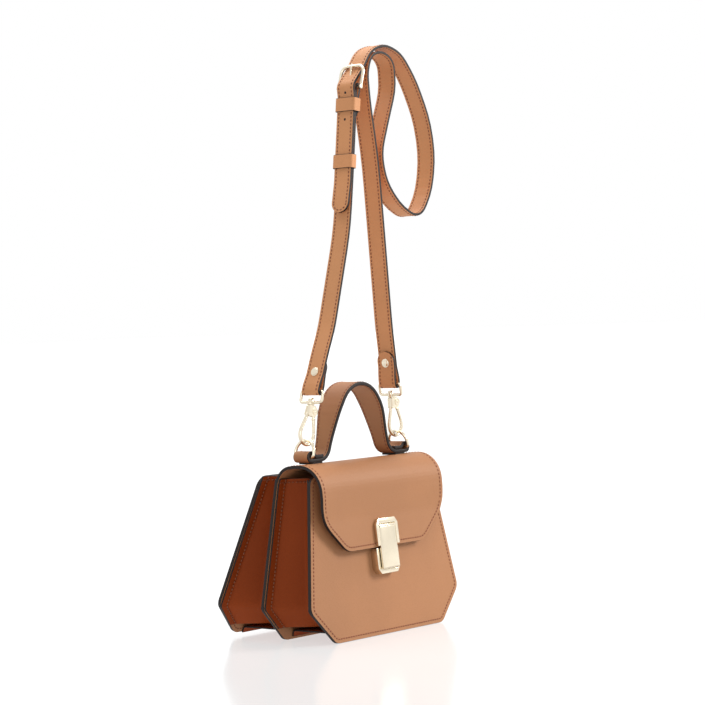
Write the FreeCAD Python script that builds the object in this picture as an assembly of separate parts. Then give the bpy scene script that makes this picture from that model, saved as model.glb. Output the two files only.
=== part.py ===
import FreeCAD, Part
import math
import os
from FreeCAD import Placement, Rotation, Vector

# A small structured shoulder bag of stiff leather panels, standing on a floor.
# Millimetres. +Z is up, the front faces -Y, X is the width.
# The origin is on the floor, under the middle of the base.

# Panels: three stiff plates with one outline, widest above cut-off lower corners
PANEL_WIDTH = 200.0
PANEL_BOTTOM_WIDTH = 145.0
PANEL_TOP_WIDTH = 162.0
PANEL_HEIGHT = 140.0
CUT_CORNER_HEIGHT = 29.0
PANEL_THICKNESS = 3.0
PANEL_CORNER_RADIUS = 6.0

# Where the panels stand on the floor and how far they lean, top towards +Y positive
BASE_DEPTH = 118.0
DIVIDER_BACK = 59.8
FRONT_LEAN = 6.1
DIVIDER_LEAN = -2.8
BACK_LEAN = -18.6
BACK_PANEL_RAISE = 3.0

# Flap: one leather with the divider, arched forward over the front compartment.
# It bends at the back of the arch, so the handle and the shoulder strap lift with it.
ARCH_TOP = 149.3
ARCH_BACK_Z = 147.1
ARCH_FRONT_Z = 150.3
ARCH_BACK_RADIUS = 17.0
ARCH_FRONT_RADIUS = 22.0
FLAP_STANDOFF = 6.5
FLAP_BOTTOM_Z = 74.5
FLAP_BOTTOM_WIDTH = 106.0
FLAP_CUT_Z = 106.0
FLAP_THICKNESS = 2.6
FLAP_CORNER_RADIUS = 6.0
FLAP_HINGE_Z = 139.0
FLAP_HINGE_GAP = 0.5

# Gussets: soft folded sides and raised bottoms between the panels
GUSSET_THICKNESS = 1.4
GUSSET_FLANGE = 8.0
GUSSET_EDGE_INSET = 1.0
GUSSET_VALLEY_TOP = 9.0
GUSSET_VALLEY_LOW = 19.0
GUSSET_VALLEY_END = 15.0
SIDE_GUSSET_END_Z = 11.0
SIDE_GUSSET_TOP_Z = 137.0
BOTTOM_GUSSET_Z = 8.0
BOTTOM_FLANGE_END_Z = 2.0

# Handle: a tapered leather strap whose ends loop round the D-rings
HANDLE_Y = -24.0
HANDLE_TOP = 215.0
HANDLE_THICKNESS = 3.2
HANDLE_SHOULDER_X = 22.7
HANDLE_FOOT_X = 39.4
HANDLE_CROWN_RADIUS = 28.0
HANDLE_FOOT_RADIUS = 9.0
HANDLE_WIDE = 25.0
HANDLE_NARROW = 16.4
HANDLE_WIDE_Z = 200.0
HANDLE_NARROW_Z = 160.0
HANDLE_TAB_LENGTH = 13.0
HANDLE_TAB_EASE = 0.4
HANDLE_STANDOFF = 0.5

# D-rings
RING_BAR_X = 64.5
RING_WIRE = 2.8
RING_RADIUS = 10.0
RING_SIDE = 4.3
RING_CORNER = 2.6
RING_TILT = 14.0
WIRE_FIT = 0.25

# Swivel snap hooks
HOOK_WIRE = 3.0
HOOK_BOWL_RADIUS = 8.6
HOOK_BOWL_GAP = 0.6
HOOK_PIVOT_X = 4.2
HOOK_PIVOT_Z = 25.5
HOOK_NOSE_ANGLE = 12.0
HOOK_HEAD_THICKNESS = 5.0
HOOK_HEAD_TOP = 30.2
HOOK_HEAD_LOW = 21.0
HOOK_HEAD_BACK = 4.2
HOOK_HEAD_NECK = 2.5
HOOK_HEAD_FRONT = 3.2
HOOK_HEAD_ROUNDS = [1.2, 2.0, 2.4, 2.4, 1.6]
HOOK_SPINE_RISE = 2.2
HOOK_SPINE_BEND = 9.0
HOOK_DISC_RADIUS = 3.1
HOOK_PIN_PROUD = 0.4
HOOK_PIN_RADIUS = 0.9
HOOK_TANG_RADIUS = 2.4
HOOK_SLOT_RADIUS = 5.1
GATE_TANG_HALF = 1.3
GATE_TANG_LENGTH = 8.0
GATE_BAR_START = 6.2
GATE_NOSE_GAP = 0.5
HOOK_TANG_THICKNESS = 1.6
HOOK_TANG_GAP = 0.15
HOOK_POST_RADIUS = 1.5
HOOK_POST_HEAD_RADIUS = 2.7
HOOK_POST_HEAD = 1.3
EYE_WIRE = 2.6
EYE_INNER_HEIGHT = 7.2
EYE_BOSS_RADIUS = 3.0
EYE_BOSS_HEIGHT = 4.6
EYE_CORNER = 2.4
RUN_FIT = 0.06
FACE_GAP = 0.12
HOOK_LEAN = {"left": 15.0, "right": -9.0}

# Shoulder strap
STRAP_WIDTH = 18.0
STRAP_THICKNESS = 2.2
STRAP_SIDE_GAP = 1.4
LAYER_GAP = 0.1
END_TAB_LENGTH = 29.0
TAB_MARGIN = 4.0
FOLD_SPREAD = 0.33
FOLD_EASE = 1.1
EYE_FOLD_CLOSE = 15.0
BUCKLE_FOLD_CLOSE = 9.0
END_LEAN = {"left": 22.0, "right": -6.5}
STACK_LEAN = 7.5
STACK_LENGTH = 83.0
RIVET_HEIGHT = 21.0
RIVET_RADIUS = 2.9
RIVET_HEAD = 0.9
RIVET_SHANK = 1.2
TIP_RADIUS = 9.0

# Buckle and keepers
BUCKLE_BAR = (15.2, 468.5)
BUCKLE_BAR_RADIUS = 1.2
BUCKLE_WIRE = 2.8
BUCKLE_REACH = 20.0
BUCKLE_LEAN = 18.0
BUCKLE_SIDE_GAP = 1.2
BUCKLE_CORNER = 5.2
PRONG_RADIUS = 1.0
BUCKLE_KNOB = 0.4
PRONG_LIFT = 14.0
KEEPER_HEIGHT = 12.0
KEEPER_THICKNESS = 1.4
KEEPER_FIT = 0.3
FIXED_KEEPER_DOWN = 15.5
SLIDING_KEEPER_DOWN = 65.0
STRAP_HOLE_RADIUS = 1.1
STRAP_HOLE_START = 2.0
STRAP_HOLE_PITCH = 24.0
TONGUE_BENDS = [30.0, 8.0, 30.0, 60.0]

# Lock, drawn on the front panel's leaning face: depths are measured out from that face
LOCK_WIDTH = 29.0
LOCK_CUT_WIDTH = 3.6
LOCK_CUT_HEIGHT = 4.6
LOCK_BORDER = 3.4
LOCK_EDGE = 0.6
PLATE_BOTTOM_Z = 75.0
PLATE_TOP_Z = 97.8
PLATE_THICKNESS = 3.2
HOUSING_TOP_Z = 73.0
HOUSING_BOTTOM_Z = 51.0
HOUSING_DEPTH = 7.0
HOUSING_RECESS = 0.8
LEVER_TOP_Z = 93.0
LEVER_BOTTOM_Z = 55.0
LEVER_THICKNESS = 3.0
LEVER_OUT = 0.7
LEVER_HEAD_GAP = 0.3
LEVER_SIDE_GAP = 0.3
LEVER_PIN_RADIUS = 0.65
TONGUE_WIDTH = 9.0
TONGUE_HEIGHT = 2.0
TONGUE_LENGTH = 3.2
TONGUE_Z = 61.0
POCKET_MARGIN = 0.7
POCKET_HEADROOM = 1.8
POCKET_DEPTH = 5.0
CATCH_RADIUS = 1.0
BACKPLATE_THICKNESS = 1.0
BACKPLATE_MARGIN = 3.0
SCREW_RADIUS = 1.0
SCREW_HEAD_RADIUS = 2.0
SCREW_HEAD = 0.9
SCREW_SPACING = 15.0

DETAIL = 0.01


# ---- small geometry helpers -------------------------------------------------

def unit(vector):
    return Vector(vector).normalize()


def left_of(vector):
    """The unit normal on the left of a direction drawn in the XY plane."""
    return unit(Vector(-vector.y, vector.x, 0))


def runs(points, radii):
    """Straight runs joined by tangent arcs, through points drawn in the XY plane."""
    corners = [Vector(p[0], p[1], 0) for p in points]
    pieces = []
    here = corners[0]
    for before, corner, after, radius in zip(corners, corners[1:], corners[2:], radii):
        way_in = unit(corner - before)
        way_out = unit(after - corner)
        turn = way_in.getAngle(way_out)
        if turn < 1e-4 or radius <= 0:
            pieces.append(("line", here, corner))
            here = corner
            continue
        reach = radius * math.tan(turn / 2)
        side = 1 if way_in.cross(way_out).z > 0 else -1
        start = corner - way_in * reach
        end = corner + way_out * reach
        if (start - here).Length > 1e-6:
            pieces.append(("line", here, start))
        centre = start + left_of(way_in) * radius * side
        pieces.append(("arc", start, end, centre, radius, side))
        here = end
    if (corners[-1] - here).Length > 1e-6:
        pieces.append(("line", here, corners[-1]))
    return pieces


def soft_radii(points):
    """The largest easy bend at each inner point of a limp strap's path."""
    radii = []
    for before, corner, after in zip(points, points[1:], points[2:]):
        way_in = Vector(corner[0] - before[0], corner[1] - before[1], 0)
        way_out = Vector(after[0] - corner[0], after[1] - corner[1], 0)
        turn = way_in.getAngle(way_out)
        shorter = min(way_in.Length, way_out.Length)
        radii.append(0.45 * shorter / math.tan(turn / 2))
    return radii


def offset_edge(piece, distance):
    """One run or arc moved to its left by a distance, as (start, end, edge)."""
    if piece[0] == "line":
        shift = left_of(piece[2] - piece[1]) * distance
        start = piece[1] + shift
        end = piece[2] + shift
        return start, end, Part.LineSegment(start, end).toShape()
    start, end, centre, radius, side = piece[1:]
    new_radius = radius - side * distance
    start = centre + (start - centre) * (new_radius / radius)
    end = centre + (end - centre) * (new_radius / radius)
    middle = centre + unit((start + end) / 2 - centre) * new_radius
    return start, end, Part.Arc(start, middle, end).toShape()


def band(pieces, low, high):
    """The face between two offsets of a path."""
    upper = [offset_edge(piece, high) for piece in pieces]
    lower = [offset_edge(piece, low) for piece in pieces]
    edges = [edge for _, _, edge in upper]
    edges.append(Part.LineSegment(upper[-1][1], lower[-1][1]).toShape())
    edges.extend(edge for _, _, edge in reversed(lower))
    edges.append(Part.LineSegment(lower[0][0], upper[0][0]).toShape())
    return Part.Face(Part.Wire(edges))


def outline(points, radii):
    """A closed face with rounded corners, drawn in the XY plane."""
    middle = ((points[0][0] + points[-1][0]) / 2, (points[0][1] + points[-1][1]) / 2)
    path = [middle] + list(points) + [middle]
    edges = [offset_edge(piece, 0)[2] for piece in runs(path, radii)]
    return Part.Face(Part.Wire(edges))


def placed(shape, position=(0, 0, 0), axis=(0, 0, 1), angle=0.0):
    """A copy of a shape, turned about an axis through the origin and then moved."""
    result = shape.copy()
    turn = Placement(Vector(*position), Rotation(Vector(*axis), angle))
    result.Placement = turn.multiply(result.Placement)
    return result


def turned(shape, centre, axis, angle):
    """A copy of a shape, turned about an axis through a point."""
    result = shape.copy()
    result.rotate(Vector(*centre), Vector(*axis), angle)
    return result


def mirrored(shape, normal):
    return shape.mirror(Vector(0, 0, 0), Vector(*normal))


def prism_xz(face, y_low, y_high):
    """A face drawn as (x, z), made solid from y_low to y_high."""
    solid = face.extrude(Vector(0, 0, y_high - y_low))
    return placed(solid, (0, y_high, 0), (1, 0, 0), 90)


def prism_yz(face, x_low, x_high):
    """A face drawn as (y, z), made solid from x_low to x_high."""
    solid = face.extrude(Vector(0, 0, x_high - x_low))
    return placed(solid, (x_low, 0, 0), (1, 1, 1), 120)


def box(x_low, x_high, y_low, y_high, z_low, z_high):
    size = (x_high - x_low, y_high - y_low, z_high - z_low)
    return Part.makeBox(*size, Vector(x_low, y_low, z_low))


def rod(start, end, radius):
    start, end = Vector(*start), Vector(*end)
    return Part.makeCylinder(radius, (end - start).Length, start, end - start)


def wire_rod(points, radii, radius):
    """A round wire bent along a path drawn in the XY plane."""
    pieces = runs(points, radii)
    edges = [offset_edge(piece, 0)[2] for piece in pieces]
    start = pieces[0][1]
    heading = edges[0].tangentAt(edges[0].FirstParameter)
    section = Part.Wire(Part.makeCircle(radius, start, heading))
    return Part.Wire(edges).makePipeShell([section], True, True)


def one_solid(shape):
    return shape.removeSplitter() if len(shape.Solids) == 1 else shape


def join(*shapes):
    return one_solid(shapes[0].fuse(list(shapes[1:])))


def slope(lean):
    return math.tan(math.radians(lean))


# ---- the panels ---------------------------------------------------------------

FRONT_Y = -BASE_DEPTH / 2
DIVIDER_Y = FRONT_Y + DIVIDER_BACK
BACK_Y = BASE_DEPTH / 2
LOCK_SCREW_XS = (-SCREW_SPACING / 2, SCREW_SPACING / 2)


def front_plane(shape):
    """From a drawing on an upright wall at y = 0 to the leaning front panel's outer face."""
    return placed(placed(shape, (0, 0, 0), (1, 0, 0), -FRONT_LEAN), (0, FRONT_Y, 0))


def along_front(z):
    """A height on the front panel's face, as a distance along the face."""
    return z / math.cos(math.radians(FRONT_LEAN))


PLATE_LOW = along_front(PLATE_BOTTOM_Z)
PLATE_HIGH = along_front(PLATE_TOP_Z)
PLATE_SCREW = (PLATE_LOW + PLATE_HIGH) / 2
HOUSING_LOW = along_front(HOUSING_BOTTOM_Z)
HOUSING_HIGH = along_front(HOUSING_TOP_Z)
HOUSING_SCREW = HOUSING_LOW + LOCK_CUT_HEIGHT + SCREW_HEAD_RADIUS


def screw_rods(up, y_low, y_high, radius):
    """Two round bars square to the front panel's face, a distance up it."""
    return [front_plane(rod((x, y_low, up), (x, y_high, up), radius)) for x in LOCK_SCREW_XS]


def panel_outline():
    half, low, top = PANEL_WIDTH / 2, PANEL_BOTTOM_WIDTH / 2, PANEL_TOP_WIDTH / 2
    points = [(low, 0), (half, CUT_CORNER_HEIGHT), (top, PANEL_HEIGHT),
              (-top, PANEL_HEIGHT), (-half, CUT_CORNER_HEIGHT), (-low, 0)]
    return outline(points, [PANEL_CORNER_RADIUS] * len(points))


def panel(base_y, lean, inward):
    """A leaning plate whose outer face meets the floor line at base_y."""
    low, high = (0, PANEL_THICKNESS) if inward > 0 else (-PANEL_THICKNESS, 0)
    plate = prism_xz(panel_outline(), low, high)
    plate = placed(plate, (0, 0, 0), (1, 0, 0), -lean)
    lift = -plate.BoundBox.ZMin
    return placed(plate, (0, base_y + slope(lean) * lift, lift))


def front_inner_y(z):
    return FRONT_Y + slope(FRONT_LEAN) * z + PANEL_THICKNESS / math.cos(math.radians(FRONT_LEAN))


def divider_back_y(z):
    return DIVIDER_Y + slope(DIVIDER_LEAN) * z


def divider_front_y(z):
    """The divider's inner face, straight up to the arch and then round with it."""
    centre = flap_hinge()[1]
    if z > centre.y:
        return centre.x + math.sqrt((ARCH_BACK_RADIUS - FLAP_THICKNESS) ** 2 - (z - centre.y) ** 2)
    return divider_back_y(z) - FLAP_THICKNESS / math.cos(math.radians(DIVIDER_LEAN))


def back_inner_y(z):
    return BACK_Y + slope(BACK_LEAN) * (z - BACK_PANEL_RAISE) - PANEL_THICKNESS / math.cos(math.radians(BACK_LEAN))


def edge_x(z):
    """Half the width of a panel at a height."""
    half, low, top = PANEL_WIDTH / 2, PANEL_BOTTOM_WIDTH / 2, PANEL_TOP_WIDTH / 2
    if z <= CUT_CORNER_HEIGHT:
        return low + (half - low) * z / CUT_CORNER_HEIGHT
    return half + (top - half) * (z - CUT_CORNER_HEIGHT) / (PANEL_HEIGHT - CUT_CORNER_HEIGHT)


# ---- divider and flap -----------------------------------------------------------

def flap_face_y(z):
    """The flap's outer face over the front panel, parallel to the panel."""
    return FRONT_Y + slope(FRONT_LEAN) * z - FLAP_STANDOFF / math.cos(math.radians(FRONT_LEAN))


def leather_path():
    """The outer face of the divider, the arch and the flap, as one path (y, z)."""
    points = [(divider_back_y(0), 0), (divider_back_y(ARCH_BACK_Z), ARCH_BACK_Z),
              (flap_face_y(ARCH_FRONT_Z), ARCH_FRONT_Z), (flap_face_y(0), 0)]
    return runs(points, [ARCH_BACK_RADIUS, ARCH_FRONT_RADIUS])


def flap_hinge():
    """The point (y, z) on the arch's outer face where the leather bends, and the arc's centre."""
    arcs = [piece for piece in leather_path() if piece[0] == "arc"]
    centre, radius = arcs[0][3:5]
    reach = math.sqrt(radius ** 2 - (FLAP_HINGE_Z - centre.y) ** 2)
    return Vector(centre.x + reach, FLAP_HINGE_Z, 0), centre


def whole_leather():
    wide = PANEL_WIDTH
    return prism_yz(band(leather_path(), 0, FLAP_THICKNESS), -wide, wide)


def behind_arch(leather, sign):
    """The leather at the back of the arch, past the bend line (sign 1) or before it (sign -1)."""
    hinge, centre = flap_hinge()
    out = unit(hinge - centre)
    forward = left_of(out) * sign
    start = hinge + forward * (FLAP_HINGE_GAP / 2)
    far = 2 * PANEL_WIDTH
    corners = [start + out * far, start - out * far, start - out * far + forward * far,
               start + out * far + forward * far]
    face = Part.Face(Part.makePolygon(corners + corners[:1]))
    back = box(-PANEL_WIDTH, PANEL_WIDTH, centre.x, PANEL_WIDTH, -1, 2 * PANEL_HEIGHT)
    return leather.common(back).common(prism_yz(face, -PANEL_WIDTH, PANEL_WIDTH))


def divider_panel():
    half, low, top = PANEL_WIDTH / 2, PANEL_BOTTOM_WIDTH / 2, PANEL_TOP_WIDTH / 2
    tall = 2 * PANEL_HEIGHT
    points = [(low, 0), (half, CUT_CORNER_HEIGHT), (top, PANEL_HEIGHT), (top, tall),
              (-top, tall), (-top, PANEL_HEIGHT), (-half, CUT_CORNER_HEIGHT), (-low, 0)]
    radius = PANEL_CORNER_RADIUS
    shape_xz = outline(points, [radius, radius, 0, 0, 0, 0, radius, radius])
    return behind_arch(whole_leather(), -1).common(prism_xz(shape_xz, -PANEL_WIDTH, PANEL_WIDTH))


def flap_outline():
    top, low = PANEL_TOP_WIDTH / 2, FLAP_BOTTOM_WIDTH / 2
    tall = 2 * PANEL_HEIGHT
    radius = FLAP_CORNER_RADIUS
    points = [(low, FLAP_BOTTOM_Z), (top, FLAP_CUT_Z), (top, tall), (-top, tall), (-top, FLAP_CUT_Z),
              (-low, FLAP_BOTTOM_Z)]
    return outline(points, [radius, 2 * radius, 0, 0, 2 * radius, radius])


def flap():
    leather = whole_leather()
    start = flap_hinge()[1].x
    ahead = leather.common(box(-PANEL_WIDTH, PANEL_WIDTH, -PANEL_WIDTH, start, -1, 2 * PANEL_HEIGHT))
    leather = join(ahead, behind_arch(leather, 1))
    leather = leather.common(prism_xz(flap_outline(), -PANEL_WIDTH, PANEL_WIDTH))
    for hole in screw_rods(PLATE_SCREW, -2 * FLAP_STANDOFF, 0, SCREW_RADIUS + RUN_FIT):
        leather = leather.cut(hole)
    return leather


# ---- gussets ----------------------------------------------------------------------

def gusset_section(z, front_y, back_y, valley):
    """A closed loop of corners across the folded side at a height, for the +X side."""
    thick = GUSSET_THICKNESS
    outer = edge_x(z) - GUSSET_EDGE_INSET
    inner = outer - GUSSET_FLANGE
    middle = (front_y + back_y) / 2
    skin = [(outer, front_y), (inner, front_y), (inner - valley, middle), (inner, back_y), (outer, back_y)]
    face = [(outer, back_y - thick), (inner + thick, back_y - thick), (inner - valley + 1.5 * thick, middle),
            (inner + thick, front_y + thick), (outer, front_y + thick)]
    return Part.makePolygon([Vector(x, y, z) for x, y in skin + face + skin[:1]])


def side_gusset(front_at, back_at):
    """A folded side wall, narrowest at the foot, with a station where the divider starts to curve."""
    arch_z, tall = flap_hinge()[1].y, SIDE_GUSSET_TOP_Z - CUT_CORNER_HEIGHT
    arch_valley = GUSSET_VALLEY_LOW + (GUSSET_VALLEY_TOP - GUSSET_VALLEY_LOW) * (arch_z - CUT_CORNER_HEIGHT) / tall
    stations = [(SIDE_GUSSET_END_Z, GUSSET_VALLEY_END), (CUT_CORNER_HEIGHT, GUSSET_VALLEY_LOW),
                (arch_z, arch_valley), (SIDE_GUSSET_TOP_Z, GUSSET_VALLEY_TOP)]
    sections = [gusset_section(z, front_at(z), back_at(z), valley) for z, valley in stations]
    return Part.makeLoft(sections, True, True)


def bottom_gusset(front_at, back_at):
    """An upturned channel between two panels, clear of the floor."""
    top, low, thick = BOTTOM_GUSSET_Z, BOTTOM_FLANGE_END_Z, GUSSET_THICKNESS
    under = top - thick
    points = [(front_at(low), low), (front_at(top), top), (back_at(top), top), (back_at(low), low),
              (back_at(low) - thick, low), (back_at(under) - thick, under),
              (front_at(under) + thick, under), (front_at(low) + thick, low)]
    face = Part.Face(Part.makePolygon([Vector(y, z, 0) for y, z in points + points[:1]]))
    reach = edge_x(low) - GUSSET_EDGE_INSET - PANEL_CORNER_RADIUS
    return prism_yz(face, -reach, reach)


# ---- handle and rings ---------------------------------------------------------------

RING_LOOP = RING_WIRE / 2 + WIRE_FIT + HANDLE_THICKNESS / 2
FOOT_Z = ARCH_TOP + HANDLE_STANDOFF + HANDLE_THICKNESS / 2
RING_BAR_Z = FOOT_Z + RING_LOOP
RING_HEIGHT = RING_SIDE + RING_RADIUS
BOW_RISE = RING_HEIGHT * math.cos(math.radians(RING_TILT))
BOW_X = RING_BAR_X - RING_HEIGHT * math.sin(math.radians(RING_TILT))
BOW_Z = RING_BAR_Z + BOW_RISE


def handle_side_path():
    """The strap's middle line from the crown to the tab on the foot, as (x, z)."""
    crown_z = HANDLE_TOP - HANDLE_THICKNESS / 2
    outer_x = RING_BAR_X + RING_LOOP
    over_z = RING_BAR_Z + RING_LOOP
    tab_z = FOOT_Z + HANDLE_THICKNESS + LAYER_GAP
    back_x = RING_BAR_X - RING_LOOP
    points = [(0, crown_z), (HANDLE_SHOULDER_X, crown_z), (HANDLE_FOOT_X, FOOT_Z), (outer_x, FOOT_Z),
              (outer_x, over_z), (back_x - HANDLE_TAB_EASE, over_z), (back_x - HANDLE_THICKNESS, tab_z),
              (back_x - HANDLE_TAB_LENGTH, tab_z)]
    radii = [HANDLE_CROWN_RADIUS, HANDLE_FOOT_RADIUS, RING_LOOP, RING_LOOP, HANDLE_THICKNESS, HANDLE_THICKNESS]
    return runs(points, radii)


def handle_width_face():
    """The strap's widths at each height, seen from the side, as (y, z)."""
    wide, narrow = HANDLE_WIDE / 2, HANDLE_NARROW / 2
    points = [(narrow, 0), (narrow, HANDLE_NARROW_Z), (wide, HANDLE_WIDE_Z), (wide, 2 * HANDLE_TOP),
              (-wide, 2 * HANDLE_TOP), (-wide, HANDLE_WIDE_Z), (-narrow, HANDLE_NARROW_Z), (-narrow, 0)]
    easy = 4 * HANDLE_WIDE
    face = outline(points, [0, easy, easy, 0, 0, easy, easy, 0])
    face.translate(Vector(HANDLE_Y, 0, 0))
    return face


def handle(under):
    side = prism_xz(band(handle_side_path(), -HANDLE_THICKNESS / 2, HANDLE_THICKNESS / 2),
                    HANDLE_Y - HANDLE_WIDE, HANDLE_Y + HANDLE_WIDE)
    both = join(side, mirrored(side, (1, 0, 0)))
    strap = both.common(prism_yz(handle_width_face(), -PANEL_WIDTH, PANEL_WIDTH))
    for sign in (-1, 1):
        inner, outer = sorted((sign * (HANDLE_FOOT_X + HANDLE_FOOT_RADIUS), sign * RING_BAR_X))
        pad = box(inner, outer, HANDLE_Y - HANDLE_NARROW / 2, HANDLE_Y + HANDLE_NARROW / 2,
                  FOOT_Z - HANDLE_THICKNESS / 2 - FLAP_THICKNESS, FOOT_Z)
        strap = strap.fuse(pad)
    return one_solid(strap.cut(under))


def d_ring(side):
    """A D of round wire: its bar runs along Y in the handle's loop and its bow stands up."""
    half = [(0, 0), (RING_RADIUS, 0), (RING_RADIUS, RING_SIDE + RING_RADIUS), (0, RING_SIDE + RING_RADIUS)]
    bent = wire_rod(half, [RING_CORNER, RING_RADIUS - 1e-4], RING_WIRE / 2)
    ring = join(bent, mirrored(bent, (1, 0, 0)))
    ring = placed(ring, (0, 0, 0), (1, 1, 1), 120)
    sign = -1 if side == "left" else 1
    ring = placed(ring, (0, 0, 0), (0, 1, 0), -sign * RING_TILT)
    return placed(ring, (sign * RING_BAR_X, HANDLE_Y, RING_BAR_Z))


# ---- swivel hooks ---------------------------------------------------------------------
# Drawn upright with the ring's wire at the origin, the gate on +X, then leant and moved.

BOWL_Z = HOOK_BOWL_RADIUS - (RING_WIRE + HOOK_WIRE) / 2 - HOOK_BOWL_GAP
BOSS_Z = HOOK_HEAD_TOP + FACE_GAP
EYE_BAR_Z = BOSS_Z + EYE_BOSS_HEIGHT / 2
EYE_TOP_Z = EYE_BAR_Z + EYE_INNER_HEIGHT + EYE_WIRE
EYE_HALF = STRAP_WIDTH / 2 + STRAP_SIDE_GAP + EYE_WIRE / 2


def hook_place(shape, side):
    sign = -1 if side == "left" else 1
    leant = placed(shape, (0, 0, 0), (0, 1, 0), HOOK_LEAN[side])
    return placed(leant, (sign * BOW_X, HANDLE_Y, BOW_Z))


def hook_point(x, z, side):
    """A point of the upright hook's drawing, as it stands on the bag (x, z)."""
    lean = math.radians(HOOK_LEAN[side])
    sign = -1 if side == "left" else 1
    return (sign * BOW_X + x * math.cos(lean) + z * math.sin(lean),
            BOW_Z - x * math.sin(lean) + z * math.cos(lean))


def hook_eye(side):
    """A rectangular loop for the strap, with a bored boss for the swivel post."""
    low, high = EYE_BAR_Z, EYE_TOP_Z
    half = [(0, low), (EYE_HALF, low), (EYE_HALF, high), (0, high)]
    bent = wire_rod(half, [EYE_CORNER, EYE_CORNER], EYE_WIRE / 2)
    loop = join(bent, mirrored(bent, (1, 0, 0)))
    loop = placed(loop, (0, 0, 0), (1, 1, 1), 120)
    boss = rod((0, 0, BOSS_Z), (0, 0, BOSS_Z + EYE_BOSS_HEIGHT), EYE_BOSS_RADIUS)
    bore = rod((0, 0, BOSS_Z - 1), (0, 0, EYE_TOP_Z - EYE_WIRE), HOOK_POST_RADIUS + RUN_FIT)
    return hook_place(join(loop, boss).cut(bore), side)


def hook_body(side):
    """The cast hook: swivel post, forked head, spine, bowl and nose."""
    head = [(-HOOK_HEAD_BACK, HOOK_HEAD_LOW), (HOOK_PIVOT_X + HOOK_HEAD_FRONT / 3, HOOK_HEAD_LOW),
            (HOOK_PIVOT_X + HOOK_HEAD_FRONT, HOOK_PIVOT_Z), (HOOK_PIVOT_X, HOOK_HEAD_TOP),
            (-HOOK_HEAD_NECK, HOOK_HEAD_TOP)]
    half = HOOK_HEAD_THICKNESS / 2
    block = prism_xz(outline(head, HOOK_HEAD_ROUNDS), -half, half)
    proud = half + HOOK_PIN_PROUD
    disc = rod((HOOK_PIVOT_X, -proud, HOOK_PIVOT_Z), (HOOK_PIVOT_X, proud, HOOK_PIVOT_Z), HOOK_DISC_RADIUS)
    tang_half = HOOK_TANG_THICKNESS / 2 + HOOK_TANG_GAP
    slot = rod((HOOK_PIVOT_X, -tang_half, HOOK_PIVOT_Z), (HOOK_PIVOT_X, tang_half, HOOK_PIVOT_Z),
               HOOK_SLOT_RADIUS)
    bore = rod((HOOK_PIVOT_X, -PANEL_WIDTH, HOOK_PIVOT_Z), (HOOK_PIVOT_X, PANEL_WIDTH, HOOK_PIVOT_Z),
               HOOK_PIN_RADIUS)
    r = HOOK_BOWL_RADIUS
    nose = math.radians(HOOK_NOSE_ANGLE)
    low = BOWL_Z - r
    path = [(-HOOK_HEAD_NECK, HOOK_HEAD_LOW + HOOK_WIRE / 2), (-r, BOWL_Z + HOOK_SPINE_RISE), (-r, low), (r, low),
            (r, BOWL_Z + r * math.tan(nose))]
    spine = wire_rod(path, [HOOK_SPINE_BEND, r - 1e-4, r - 1e-4], HOOK_WIRE / 2)
    spine = placed(spine, (0, 0, 0), (1, 0, 0), 90)
    post_top = BOSS_Z + EYE_BOSS_HEIGHT + FACE_GAP
    post = rod((0, 0, HOOK_HEAD_TOP - 1), (0, 0, post_top + HOOK_POST_HEAD / 2), HOOK_POST_RADIUS)
    cap = rod((0, 0, post_top), (0, 0, post_top + HOOK_POST_HEAD), HOOK_POST_HEAD_RADIUS)
    body = join(block, disc, post, cap).cut(slot).cut(bore)
    return hook_place(join(body, spine), side)


def gate_tip():
    """The gate's lower end, just above the nose (x, z)."""
    nose = math.radians(HOOK_NOSE_ANGLE)
    return (HOOK_BOWL_RADIUS, BOWL_Z + HOOK_BOWL_RADIUS * math.tan(nose) + GATE_NOSE_GAP)


def hook_gate(side):
    """The sprung gate: an eyed tang in the fork and a round bar down to the nose."""
    tip_x, tip_z = gate_tip()
    pivot = Vector(HOOK_PIVOT_X, 0, HOOK_PIVOT_Z)
    way = unit(Vector(tip_x, 0, tip_z) - pivot)
    start = pivot + way * GATE_BAR_START
    bar = rod((start.x, 0, start.z), (tip_x, 0, tip_z), HOOK_WIRE / 2)
    half = HOOK_TANG_THICKNESS / 2
    across = Vector(-way.z, 0, way.x) * GATE_TANG_HALF
    reach = pivot + way * GATE_TANG_LENGTH
    corners = [pivot + across, reach + across, reach - across, pivot - across]
    face = Part.Face(Part.makePolygon(corners + corners[:1]))
    tang = face.extrude(Vector(0, HOOK_TANG_THICKNESS, 0))
    tang.translate(Vector(0, -half, 0))
    eye = rod((pivot.x, -half, pivot.z), (pivot.x, half, pivot.z), HOOK_TANG_RADIUS)
    bore = rod((pivot.x, -2 * half, pivot.z), (pivot.x, 2 * half, pivot.z), HOOK_PIN_RADIUS + RUN_FIT)
    return hook_place(join(bar, tang, eye).cut(bore), side)


def gate_pin(side):
    half = HOOK_HEAD_THICKNESS / 2 + HOOK_PIN_PROUD
    pin = rod((HOOK_PIVOT_X, -half, HOOK_PIVOT_Z), (HOOK_PIVOT_X, half, HOOK_PIVOT_Z), HOOK_PIN_RADIUS)
    return hook_place(pin, side)


# ---- shoulder strap --------------------------------------------------------------------

FOLD = STRAP_THICKNESS / 2 + WIRE_FIT
LAYER = (STRAP_THICKNESS + LAYER_GAP) / 2


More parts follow.
